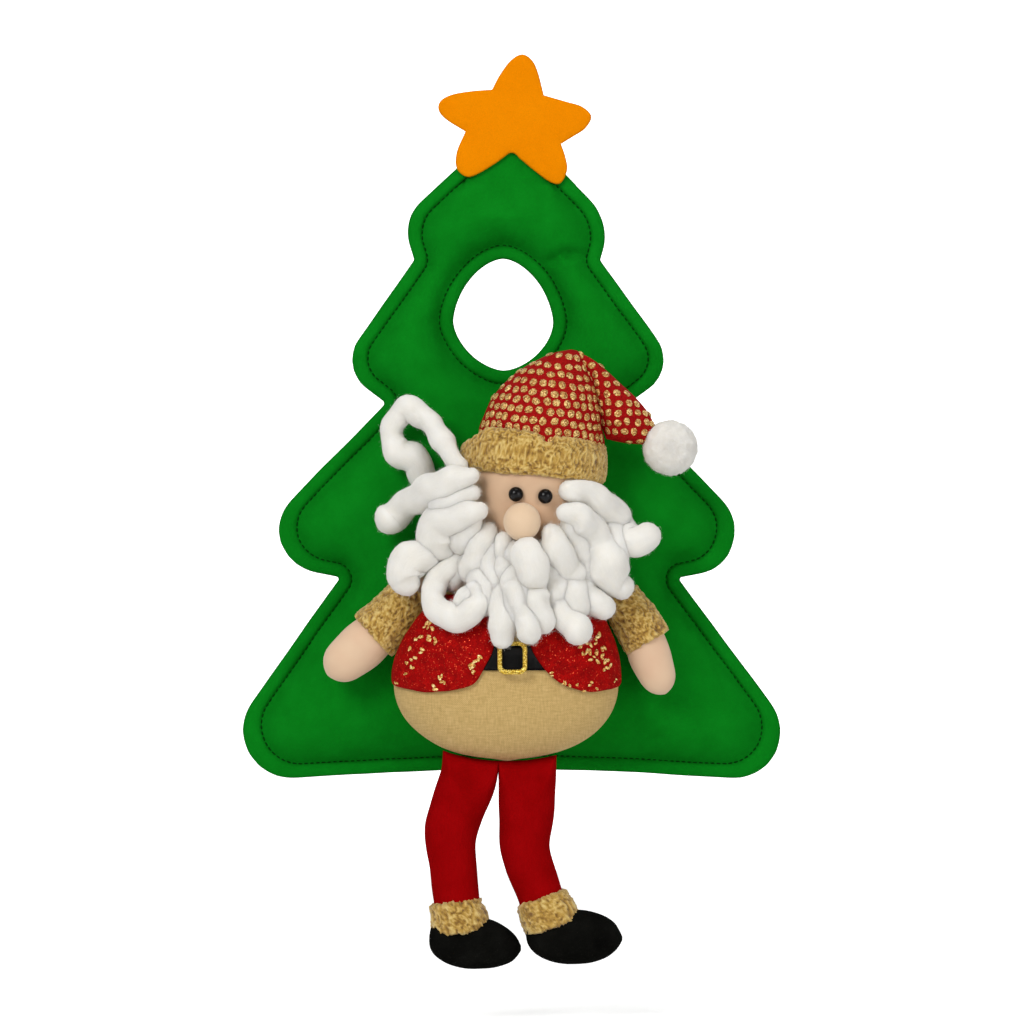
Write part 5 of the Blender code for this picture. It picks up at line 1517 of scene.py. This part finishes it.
def dimple(piece, centre, reach, depth):
    """Draw a surface in round a place, as a stitched-on bead does."""
    for vertex in piece.data.vertices:
        gap = (vertex.co - centre).length
        if gap < reach:
            vertex.co.y += depth * (1 - (gap / reach) ** 2) ** 2


def crown_rows():
    """Rows of the hat's crown from its rim up: height, middle across, half width."""
    rows = []
    for py, left, right in CROWN_ROWS_PX:
        low, high = at(left, py), at(right, py)
        rows.append((low.z, (low.x + high.x) / 2, (high.x - low.x) / 2))
    return resample(smooth_route(rows), CROWN_SPACING, 1 + 2)


def build_crown():
    """The hat's crown over the head, its back flat against the tree."""
    rings = []
    for height, middle, half in crown_rows():
        half = max(half, CROWN_LEAST)
        head_depth = head_section(height, HAT_EASE)[1]
        ring = []
        for k in range(CROWN_SIDES):
            turn = 2 * math.pi * k / CROWN_SIDES
            across, ahead = math.sin(turn), math.cos(turn)
            x = middle + half * across
            y = HEAD.y - half * HAT_DEPTH * ahead
            y = min(y, HEAD.y - head_depth * ahead) if ahead > 0 else y
            fold = noise.noise(Vector((x, y, height)) * 55) * 0.0010
            ring.append(Vector((
                x + across * fold, min(y - ahead * fold, CROWN_BACK), height)))
        rings.append(ring)
    top = sum(rings[-1], Vector()) / CROWN_SIDES + Vector((0, 0, CROWN_TOP))
    bottom = sum(rings[0], Vector()) / CROWN_SIDES
    crown = skin("hat_crown_cloth", [[bottom]] + rings + [[top]])
    dress(crown, materials["hat_cloth"], "hat_cloth", ROOT, "hat_crown")
    return crown


def build_tail():
    """The hat's folded-over tail, flat at its fold and at its tip."""
    edges = []
    for table in (TAIL_OUTER_PX, TAIL_LOWER_PX):
        line = smooth_route([at(*px) for px in table], 10)
        edges.append(resample(line, len_of(line) / TAIL_STEPS))
    rings = []
    for step, (top, low) in enumerate(zip(*edges)):
        share = step / TAIL_STEPS
        depth = TAIL_DEPTH * np.interp(share, *TAIL_DEPTH_SHARES)
        middle, half = Vector(top + low) / 2, Vector(top - low) / 2
        middle.y = HEAD.y - TAIL_FORWARD * (1 - share)
        half.y = 0.0
        ring = []
        for k in range(TAIL_SIDES):
            turn = 2 * math.pi * k / TAIL_SIDES
            spot = middle + half * math.cos(turn)
            spot.y -= depth / 2 * math.sin(turn) * (1 - TAIL_TAPER * math.cos(turn))
            spot.y -= noise.noise(spot * 70) * 0.0012 * math.sin(turn)
            ring.append(spot)
        rings.append(ring)
    middles = [sum(ring, Vector()) / TAIL_SIDES for ring in (rings[0], rings[-2], rings[-1])]
    first = middles[0] - Vector((TAIL_START, 0, 0))
    last = middles[2] + (middles[2] - middles[1]) * TAIL_TIP
    tail = skin("hat_tail_cloth", [[first]] + rings + [[last]])
    dress(tail, materials["hat_cloth"], "hat_cloth", "hat_end", "hat_tail")
    return tail


def build_hat():
    """The dotted crown, its folded-over tail, the wool pompom and the fur band."""
    for name, piece, body, step in (("crown_dots", build_crown(), ROOT, 0),
                                    ("tail_dots", build_tail(), "hat_end", 1)):
        dots = sequins(name, piece, step)
        dress(dots, materials["dot_gold"], "buckle_gold", body)

    centre = at(*POMPOM_PX[:2])
    low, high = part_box("pompom")
    centre.y = (low.y + high.y) / 2
    pompom = skin("pompom_ball", ball_rings(centre, POMPOM_PX[2] * PIXEL, 96, 64))
    roughen(pompom, pompom_relief)
    dress(pompom, materials["wool_white"], "wool_white", "hat_end", "pompom")
    return build_band(), pompom


def pompom_relief(place):
    """Soft tufts of a pompom, whose share gives the wool its painted shade between them."""
    value = noise.noise(place * 260) * 0.6 + noise.noise(place * 700) * 0.4
    return value * 0.0011, 0.5 + value * 0.5


def len_of(route):
    """Length of a route of places."""
    return float(np.linalg.norm(np.diff(route[:, :3], axis=0), axis=1).sum())


def sequins(name, piece, shift):
    """Round gold dots in brick-like rows round a piece that bulges front and back."""
    surface = surface_of(piece)
    rng = random.Random(DOT_SEED + shift)
    slant = DOT_SLANT[shift]
    points = coordinates(piece.data)
    levels = points[:, 2] + points[:, 0] * slant
    parts = []
    level, row = levels.min() + DOT_PITCH * 0.3, 0
    while level < levels.max():
        across = points[np.abs(levels - level) < DOT_PITCH / 3, 0]
        middle, half = (across.min() + across.max()) / 2, (across.max() - across.min()) / 2
        count = int(math.radians(DOT_TURN) * half / DOT_PITCH) + 1
        for column in range(-count, count + 1):
            stray = rng.uniform(-DOT_JITTER, DOT_JITTER)
            turn = (column + (row % 2) / 2 + stray) * DOT_PITCH / half
            if abs(turn) > math.radians(DOT_TURN):
                continue
            x = middle + half * math.sin(turn)
            z = level - x * slant + rng.uniform(-DOT_JITTER, DOT_JITTER) * DOT_PITCH
            for start, way in ((FRONT_Y, BACKWARD), (-FRONT_Y, -BACKWARD)):
                hit, normal, _, _ = surface.ray_cast(Vector((x, start, z)), way)
                if hit is None or (way.y < 0 and hit.y > CROWN_BACK - 1e-4):
                    continue
                spot = hit + normal * DOT_LIFT
                parts.append(flake(spot, normal, DOT_SIZES[shift], rng, DOT_ASPECT))
        level += DOT_PITCH * DOT_ROWS
        row += 1
    return joined(name, parts)


def fur_relief(place):
    """Crushed pile: crinkled worms of fur, whose share gives the fur its painted shade in the creases
    and painted highlight on the worms.
    """
    first = ridges(place, 340, 1.6)
    second = ridges(place, 700, 1.2, 7.0)
    value = first * 0.65 + second * 0.35
    return (value - 0.35) * FUR_HEIGHT, value


def fur_piece(name, rings, body, node):
    """A closed fur piece over rings, with its pile raised."""
    piece = skin(name, rings, closed=True)
    roughen(piece, fur_relief)
    dress(piece, materials["fur_gold"], "fur_gold", body, node)
    return piece


def build_band():
    """The fur band round the hat's rim, tucked in at its top right of the middle."""
    sides, around = BAND_SIDES
    rings = [[] for _ in range(around)]
    section = [power_pair(2 * math.pi * k / around, BAND_ROUNDNESS) for k in range(around)]
    for k in range(sides):
        turn = 2 * math.pi * k / sides
        across, ahead = math.sin(turn), math.cos(turn)
        share = (across + 1) / 2
        top = at(0, np.interp(share, *BAND_TOP_PX)).z
        bottom = at(0, np.interp(share, *BAND_BOTTOM_PX)).z
        if ahead > 0:
            place, drop, width = BAND_TUCK
            top -= drop * math.exp(-((across - place) / width) ** 2)
        middle, half_height = (top + bottom) / 2, (top - bottom) / 2
        left, right = at(BAND_ENDS_PX[0], 0).x, at(BAND_ENDS_PX[1], 0).x
        centre_x, half_width = (left + right) / 2, (right - left) / 2 - BAND_PILE / 2
        half_depth = half_width * BAND_DEPTH
        for number, (out, along) in enumerate(section):
            reach = out * BAND_PILE / 2
            x = centre_x + (half_width + reach) * across
            y = HEAD.y - (half_depth + reach) * ahead
            rings[number].append(Vector((
                x, min(y, CROWN_BACK + BAND_PILE / 2 + reach * 0.8), middle + half_height * along)))
    return fur_piece("hat_band_fur", rings, ROOT, "hat_fur_band")


def limb_rings(stations, sides, depth_ratio, grow=0.0):
    """Rings square to a limb that lies in a plane facing the viewer: (x, y, z, half) rows."""
    rings = []
    last = len(stations) - 1
    for k, (x, y, z, half) in enumerate(stations):
        before, after = stations[max(k - 1, 0)], stations[min(k + 1, last)]
        along = Vector((after[0] - before[0], 0.0, after[2] - before[2])).normalized()
        across = along.cross(Vector((0.0, 1.0, 0.0))).normalized()
        rings.append([
            Vector((x, y, z)) + across * (half + grow) * math.cos(t)
            + Vector((0.0, 1.0, 0.0)) * (half * depth_ratio + grow) * math.sin(t)
            for t in np.linspace(0, 2 * math.pi, sides, endpoint=False)])
    return rings


def px_stations(table, depth, spacing):
    """Even (x, y, z, half) rows along a limb from its pixel table."""
    rows = []
    for px, py, half in table:
        place = seen_at(px, py, depth)
        rows.append((place.x, place.y, place.z, half * PIXEL))
    return resample(smooth_route(rows), spacing)


def round_end(stations, first_share, last_share):
    """Rows with rounded ends added before and after a limb's stations."""
    def cap(row, way, share):
        rows = []
        for degrees in (20, 40, 58, 74, 84):
            angle = math.radians(degrees)
            place = row[:3] + way * row[3] * math.sin(angle) * share
            rows.append(np.append(place, row[3] * math.cos(angle)))
        tip = np.append(row[:3] + way * row[3] * share, 0.0)
        return rows, tip

    start_way = stations[0][:3] - stations[1][:3]
    end_way = stations[-1][:3] - stations[-2][:3]
    before, first = cap(stations[0], start_way / np.linalg.norm(start_way), first_share)
    after, last = cap(stations[-1], end_way / np.linalg.norm(end_way), last_share)
    return np.array(before[::-1] + list(stations) + after), Vector(first[:3]), Vector(last[:3])


def build_arms():
    """Two stuffed arms whose round hands stand out of gold fur sleeves."""
    for word, body in (("left", "left_arm"), ("right", "right_arm")):
        low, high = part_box("arm_" + word)
        depth = (low.y + high.y) / 2
        stations = px_stations(ARM_PX[word], depth, LIMB_SPACING)
        rows, first, last = round_end(stations, SHOULDER_TIP, HAND_TIP[word])
        rings = [[first]] + limb_rings(rows, 40, ARM_RATIO, -LIMB_SWELL) + [[last]]
        arm = skin("arm_%s_cloth" % word, rings)
        blow_up(arm, pressure=3.5, cap=LIMB_SWELL * 1.6)
        subdivide(arm)
        dress(arm, materials["hand_cloth"], "skin_cloth", body, "arm_" + word)

        worn = px_stations(SLEEVE_PX[word], depth, SLEEVE_SPACING)
        outer = limb_rings(worn, SLEEVE_SIDES, ARM_RATIO)
        inner = limb_rings(worn, SLEEVE_SIDES, ARM_RATIO, -SLEEVE_PILE)
        rims = [[[out.lerp(deep, share) for out, deep in zip(outer[end], inner[end])]
                 for share in SLEEVE_RIM_SHARES] for end in (-1, 0)]
        rings = outer + rims[0] + inner[::-1] + rims[1][::-1]
        fur_piece("sleeve_%s_fur" % word, rings, body, "sleeve_" + word)


def belly_height(x):
    """Height of the torso's underside at a place across."""
    share = min(abs(x - TORSO.x) / (TORSO_WIDTH / 2), 1.0)
    return TORSO.z - TORSO_HEIGHTS[1] * (1 - share ** TORSO_ROUNDNESS) ** (1 / TORSO_ROUNDNESS)


def ease_hip(point):
    """Draw a leg's point in toward the hip axis, so that the leg's top turns under the belly."""
    radius = belly_height(point.x) - HIP_HEIGHT - HIP_EASE
    ahead = point.y - TORSO.y
    below = HIP_HEIGHT - point.z
    if below < 0:
        reach = math.hypot(ahead, below)
        if reach > radius:
            point.y = TORSO.y + ahead * radius / reach
            point.z = HIP_HEIGHT - below * radius / reach
    else:
        limit = radius + below * math.tan(math.radians(HIP_WEDGE))
        point.y = TORSO.y + min(max(ahead, -limit), limit)
    return point


def build_leg(word, body):
    """A soft red leg, its top rounded about the hip axis."""
    rows = []
    for py, left, right in LEG_ROWS_PX[word]:
        middle = seen_at((left + right) / 2, py, TORSO.y)
        rows.append((*middle, (right - left) / 2 * PIXEL))
    stations = resample(smooth_route(rows), LEG_SPACING)
    for column in (0, 3):
        stations[:, column] = soften(stations[:, column], LEG_EASE)
    rings = limb_rings(stations, 44, LEG_RATIO, -LIMB_SWELL)
    rings.insert(0, [sum(rings[0], Vector()) / len(rings[0])])
    rings.append([sum(rings[-1], Vector()) / len(rings[-1])])
    rings = [[ease_hip(point) for point in ring] for ring in rings]
    leg = skin("leg_%s_felt" % word, rings)
    blow_up(leg, pressure=3.5, cap=LIMB_SWELL * 1.5)
    roughen(leg, uneven(70, 0.0007))
    subdivide(leg)
    for vertex in leg.data.vertices:
        place = vertex.co.copy()
        place.z += max(place.z - HIP_HEIGHT, 0.0) * HIP_STRETCH
        if place.z > HIP_HEIGHT - LEG_FREE:
            vertex.co = ease_hip(place)
    dress(leg, materials["felt_red"], "felt_red", body, "leg_" + word)


def build_shoe(word, body):
    """A soft black shoe, rounded square across."""
    low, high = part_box("shoe_" + word)
    depth, half_depth = (low.y + high.y) / 2, (high.y - low.y) / 2
    rows = resample(smooth_route(SHOE_ROWS_PX[word]), SHOE_STEP_PX)
    for column in (1, 2):
        rows[:, column] = soften(rows[:, column], SHOE_EASE)
    rings = []
    for px, top, bottom in rows:
        middle = seen_at(px, (top + bottom) / 2, depth)
        half = max((bottom - top) / 2 * PIXEL, SHOE_LEAST)
        wide = half_depth * min(1.0, half / (SHOE_HALF * PIXEL)) ** SHOE_FULLNESS
        ring = []
        for k in range(SHOE_SIDES):
            out, up = power_pair(2 * math.pi * k / SHOE_SIDES, SHOE_ROUNDNESS)
            ring.append(middle + Vector((0.0, out * wide, up * half)))
        rings.append(ring)
    ends = [[sum(ring, Vector()) / SHOE_SIDES] for ring in (rings[0], rings[-1])]
    shoe = skin("shoe_%s_felt" % word, ends[:1] + rings + ends[1:])
    roughen(shoe, uneven(90, 0.0005))
    subdivide(shoe)
    dress(shoe, materials["felt_black"], "felt_black", body, "shoe_" + word)


def build_legs():
    """Two soft red legs with fur cuffs and black felt shoes."""
    for word in ("left", "right"):
        body = word + "_leg"
        build_leg(word, body)
        build_shoe(word, body)
        stations = px_stations(CUFF_PX[word], TORSO.y, CUFF_SPACING)
        outer = limb_rings(stations, CUFF_SIDES, CUFF_RATIO)
        inner = limb_rings(stations, CUFF_SIDES, CUFF_RATIO, -CUFF_PILE)
        for end in (0, -1):
            for point, under in zip(outer[end], inner[end]):
                point += (under - point) * CUFF_RIM_SHARE
        fur_piece("shoe_cuff_%s_fur" % word, outer + inner[::-1], body, "shoe_cuff_" + word)


def travel_back(x, z, radius, surface):
    """How far back a ball comes from the front before it touches the surface."""
    y = TRAVEL_START
    while y < TREE_FRONT - radius:
        room = surface.find_nearest(Vector((x, y, z)))[3] - radius
        if room < TRAVEL_STOP:
            break
        y += room
    return min(y, TREE_FRONT - radius)


def packed_depth(node, route):
    """Depths of a lock's middle along its route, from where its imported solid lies."""
    spots = coordinates(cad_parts[node].data)
    depths = []
    for x, _, z, _ in route:
        gaps = np.hypot(spots[:, 0] - x, spots[:, 2] - z)
        near = spots[np.argsort(gaps)[:12], 1]
        depths.append((near.max() + near.min()) / 2)
    return soften(np.array(depths), DEPTH_EASE)


def soften(values, rounds):
    """Ease a list of values."""
    for _ in range(rounds):
        wide = np.concatenate((values[:1], values, values[-1:]))
        values = (wide[:-2] + wide[1:-1] * 2 + wide[2:]) / 4
    return values


def lock_route(table, seed):
    """Even (x, y, z, radius) rows of a wool lock, thick and thin by turns along its length."""
    rows = []
    for px, py, half in table:
        place = at(px, py)
        rows.append((place.x, 0.0, place.z, half * PIXEL))
    route = resample(smooth_route(rows), WOOL_SPACING)
    for k, row in enumerate(route):
        along = k * WOOL_SPACING
        swell = noise.noise(Vector((along / WOOL_PERIOD * 1.6, seed * 3.7, 0.5))) * 2
        row[3] *= 1 + WOOL_SWELL * max(-1.0, min(1.0, swell))
    return route


def wool_relief(seed):
    """Soft hollows and strands of carded wool, whose share gives the wool its painted shade in the
    hollows.
    """
    def relief(place):
        soft = noise.noise(place * 120 + Vector((seed, 0, 0)))
        fine = noise.noise(place * 480 + Vector((0, seed, 0)))
        value = soft * 0.75 + fine * 0.25
        return value * WOOL_RELIEF, 0.5 + value * 0.6
    return relief


def build_lock(name, route, seed, *nodes):
    """One lock of wool over its route, its fuller side winding along it."""
    rings = tube_rings(route, WOOL_SIDES)
    for number, ring in enumerate(rings):
        middle = sum(ring, Vector()) / len(ring)
        start = number * WOOL_SPACING / TWIST_PITCH * 2 * math.pi + seed * 1.7
        for k, point in enumerate(ring):
            grow = TWIST_SWELL * math.cos(2 * math.pi * k / len(ring) - start)
            ring[k] = middle + (point - middle) * (1 + grow)
    lock = skin(name, rings)
    roughen(lock, wool_relief(seed))
    dress(lock, materials["wool_white"], "wool_white", ROOT, *nodes)
    return lock


def level_with(row, around):
    """Depth of a place among the nearest places of other locks, nearer ones counting more."""
    gaps = np.hypot(around[:, 0] - row[0], around[:, 2] - row[2])
    near = np.argsort(gaps)[:BED_NEIGHBOURS]
    weights = 1 / (gaps[near] + PIXEL) ** 2
    return float((around[near, 1] * weights).sum() / weights.sum())


def clear_of_arms(route):
    """Depths of a lock's middle, brought in front of the sleeves where an arm sweeps past."""
    side, height, front, ease = ARM_SWEEP
    swept = (np.abs(route[:, 0] - TORSO.x) > side) & (route[:, 2] < height)
    if not swept.any():
        return route[:, 1]
    limit = np.where(swept, front - route[:, 3], np.inf)
    return soften(np.minimum(route[:, 1], limit), ease)


def build_beard(pieces):
    """The long beard: thick wool locks, shorter ones that fill between them."""
    surface = surface_of(*pieces)
    locks, rows = [], []
    for seed, (node, table) in enumerate(BEARD_LOCKS_PX.items()):
        route = lock_route(table, seed)
        depths = packed_depth(node, route)
        route[:, 1] = depths - (route[:, 3] - LOCK_PACKED) * LOCK_FORWARD
        route[:, 1] = clear_of_arms(route)
        route[:, 1] = np.maximum(route[:, 1], cad_box[0][1] - LOCK_REACH + route[:, 3])
        locks.append(build_lock(node.replace("beard_", "wool_"), route, seed, node))
        rows.append(route)
    around = np.concatenate(rows)
    for seed, (name, table) in enumerate(BEARD_BED_PX.items()):
        route = lock_route(table, seed)
        depths = [
            min(level_with(row, around) + BED_SINK,
                travel_back(row[0], row[2], row[3] * BED_PRESS, surface))
            for row in route]
        route[:, 1] = soften(np.array(depths), DEPTH_EASE)
        route[:, 1] = clear_of_arms(route)
        locks.append(build_lock(name, route, seed + BED_SEED))
    return locks


def build_fuzz(name, pieces, count, length, body, seed):
    """Loose fine fibres that stand off wool, so that its outline is soft."""
    rng = random.Random(seed)
    points, faces = [], []
    for piece in pieces:
        mesh = piece.data
        for _ in range(count):
            vertex = mesh.vertices[rng.randrange(len(mesh.vertices))]
            normal = vertex.normal
            drift = Vector((rng.gauss(0, 1), rng.gauss(0, 1), rng.gauss(0, 1))).normalized()
            way = (drift - normal * drift.dot(normal)).normalized()
            reach = length * rng.uniform(0.5, 1.2)
            width = FIBRE_WIDTH * rng.uniform(0.6, 1.2)
            place = vertex.co - normal * 0.0003
            start = len(points)
            for step in range(FIBRE_STEPS + 1):
                share = step / FIBRE_STEPS
                rise = math.sin(math.pi * 0.75 * share) * reach * 0.33
                bend = drift.cross(normal) * reach * 0.25 * share * share
                spot = place + way * reach * share + normal * rise + bend
                side = way.cross(normal).normalized() * width * (1 - share * 0.7) / 2
                points += [spot - side, spot + side]
            for step in range(FIBRE_STEPS):
                k = start + step * 2
                faces.append((k, k + 1, k + 3, k + 2))
    fuzz = make_mesh(name, points, faces)
    dress(fuzz, materials["wool_fibre"], "wool_white", body)
    return fuzz


def seen_rays(shader):
    """1 for the rays that look at the stage or mirror it, and 0 for those that light by it."""
    path = shader.node('ShaderNodeLightPath', {}).node
    mirrored = shader.math(
        'MAXIMUM', path.outputs["Is Glossy Ray"], path.outputs["Is Transmission Ray"])
    return shader.math('MAXIMUM', path.outputs["Is Camera Ray"], mirrored)


def stage_sheet(name, corners, shader):
    """A flat sheet of the stage."""
    sheet = make_mesh(name, corners, [(0, 1, 2, 3)])
    sheet.data.materials.append(shader.material)


def build_stage():
    """The pale floor and the backdrop, white to the camera but for the object's shadow.

    The backdrop is clear from behind, so that the object's back can be seen.
    """
    s = Shader("floor_pale")
    s.done(s.ramp(s.noise(3.0, 2.0), (0.3, (0.86, 0.86, 0.86)), (0.7, (0.90, 0.90, 0.90))),
           Specular_IOR_Level=0.1, Emission_Strength=seen_rays(s),
           Emission_Color=(FLOOR_GLOW, FLOOR_GLOW, FLOOR_GLOW, 1.0))
    reach = STAGE_REACH
    stage_sheet("floor_sheet", [
        (-reach, -reach, FLOOR_Z), (reach, -reach, FLOOR_Z), (reach, reach, FLOOR_Z),
        (-reach, reach, FLOOR_Z)], s)

    w = Shader("backdrop_white")
    w.done((0.85, 0.85, 0.85, 1.0), rough=BACKDROP_ROUGHNESS, Emission_Strength=seen_rays(w),
           Emission_Color=(1.0, 1.0, 1.0, 1.0))
    clear_from_behind = w.node('ShaderNodeMixShader', {
        0: w.node('ShaderNodeNewGeometry', {}, "Backfacing"),
        1: w.surface.outputs["BSDF"],
        2: w.node('ShaderNodeBsdfTransparent', {})})
    w.tree.links.new(clear_from_behind, w.tree.nodes["Material Output"].inputs["Surface"])
    stage_sheet("backdrop_sheet", [
        (-reach, BACKDROP_Y, FLOOR_Z), (reach, BACKDROP_Y, FLOOR_Z),
        (reach, BACKDROP_Y, reach), (-reach, BACKDROP_Y, reach)], w)

    world = bpy.data.worlds.new("studio")
    bpy.context.scene.world = world
    world.use_nodes = True
    background = world.node_tree.nodes["Background"]
    background.inputs["Color"].default_value = (1.0, 1.0, 1.0, 1.0)
    background.inputs["Strength"].default_value = WORLD_STRENGTH


def build_lights():
    """Three soft studio lamps that face the object."""
    target = Vector((0.0, -0.03, -0.15))
    for name, (place, size, power) in (
            ("key", KEY_LIGHT), ("fill", FILL_LIGHT), ("top", TOP_LIGHT)):
        lamp = bpy.data.lights.new(name, 'AREA')
        lamp.shape = 'SQUARE'
        lamp.size = size
        lamp.energy = power
        thing = bpy.data.objects.new(name, lamp)
        thing.location = place
        thing.rotation_euler = (target - Vector(place)).to_track_quat('-Z', 'Y').to_euler()
        bpy.context.scene.collection.objects.link(thing)


def build_camera():
    """A far, level camera that frames the photograph's field."""
    data = bpy.data.cameras.new("camera")
    centre = at(IMAGE_PX / 2, IMAGE_PX / 2)
    data.sensor_width = SENSOR * 1000
    data.lens = SENSOR * 1000 * CAMERA_DISTANCE / (IMAGE_PX * PIXEL)
    data.clip_end = 50.0
    camera = bpy.data.objects.new("camera", data)
    camera.location = (centre.x, -CAMERA_DISTANCE, centre.z)
    camera.rotation_euler = (math.pi / 2, 0.0, 0.0)
    bpy.context.scene.collection.objects.link(camera)
    bpy.context.scene.camera = camera


materials = {
    "felt_green": felt_material(
        "felt_green", (0.0028, 0.187, 0.0088), (0.0032, 0.208, 0.0103),
        (0.0038, 0.227, 0.0120)),
    "felt_red": felt_material(
        "felt_red", (0.255, 0.0010, 0.0016), (0.292, 0.0012, 0.0022), (0.325, 0.0018, 0.0028),
        nap=0.5),
    "felt_black": felt_material(
        "felt_black", (0.0030, 0.0030, 0.0026), (0.0050, 0.0050, 0.0042),
        (0.0080, 0.0080, 0.0068)),
    "felt_orange": felt_material(
        "felt_orange", (0.830, 0.236, 0.0004), (0.850, 0.246, 0.0006), (0.865, 0.256, 0.0008)),
    "thread_green": plain_material(
        "thread_green", (0.0010, 0.040, 0.0024), (0.0016, 0.062, 0.0036), 900, 0.9,
        specular=0.02),
    "burlap": burlap_material(),
    "belt_vinyl": plain_material(
        "belt_vinyl", (0.0030, 0.0028, 0.0028), (0.0060, 0.0056, 0.0056), 400, 0.42,
        specular=0.2),
    # The golds' dark and light colours are painted shade and painted glints on their facets.
    "buckle_gold": gold_material(
        "buckle_gold", (0.36, 0.20, 0.012), (0.74, 0.50, 0.05), (0.95, 0.78, 0.22), 1800, 0.3),
    "flake_gold": gold_material(
        "flake_gold", (0.42, 0.15, 0.02), (0.80, 0.44, 0.10), (0.98, 0.78, 0.34), 1300, 0.34,
        0.5),
    "dot_gold": gold_material(
        "dot_gold", (0.26, 0.07, 0.010), (0.56, 0.28, 0.055), (0.92, 0.68, 0.27), 1700, 0.42,
        0.40),
    "vest_cloth": glitter_cloth_material(),
    "hat_cloth": hat_cloth_material(),
    "fur_gold": fur_material(),
    "skin_cloth": knit_material("skin_cloth", (0.690, 0.468, 0.300), (0.620, 0.395, 0.245)),
    "hand_cloth": knit_material("hand_cloth", (0.760, 0.545, 0.365), (0.730, 0.485, 0.320)),
    "nose_cloth": knit_material("nose_cloth", (0.790, 0.590, 0.400), (0.760, 0.540, 0.350)),
    "bead_black": plain_material(
        "bead_black", (0.0016, 0.0012, 0.0012), (0.0034, 0.0024, 0.0024), 900, 0.22, 0.0, 0.02,
        0.22),
    # The wool's dark colour is both the fibres' own tone and the painted shade in its hollows.
    "wool_white": wool_material("wool_white", (0.74, 0.715, 0.660), (0.860, 0.835, 0.780)),
    "wool_fibre": plain_material(
        "wool_fibre", (0.82, 0.80, 0.76), (0.90, 0.88, 0.84), 400, 0.9),
}
build_camera()
build_stage()
build_lights()
tree = build_tree()
build_star()
torso = build_torso()
build_belt(torso)
build_buckle()
vests = build_vest(torso)
head, nose = build_head()
band, pompom = build_hat()
build_arms()
build_legs()
locks = build_beard([tree, torso, head, nose, band, *vests])
build_fuzz("beard_fibres", locks, FIBRES_PER_LOCK, FIBRE_LENGTH, ROOT, 3)
build_fuzz("pompom_fibres", [pompom], POMPOM_FIBRES, POMPOM_FIBRE_LENGTH, "hat_end", 4)

bpy.context.scene.view_settings.view_transform = 'Standard'
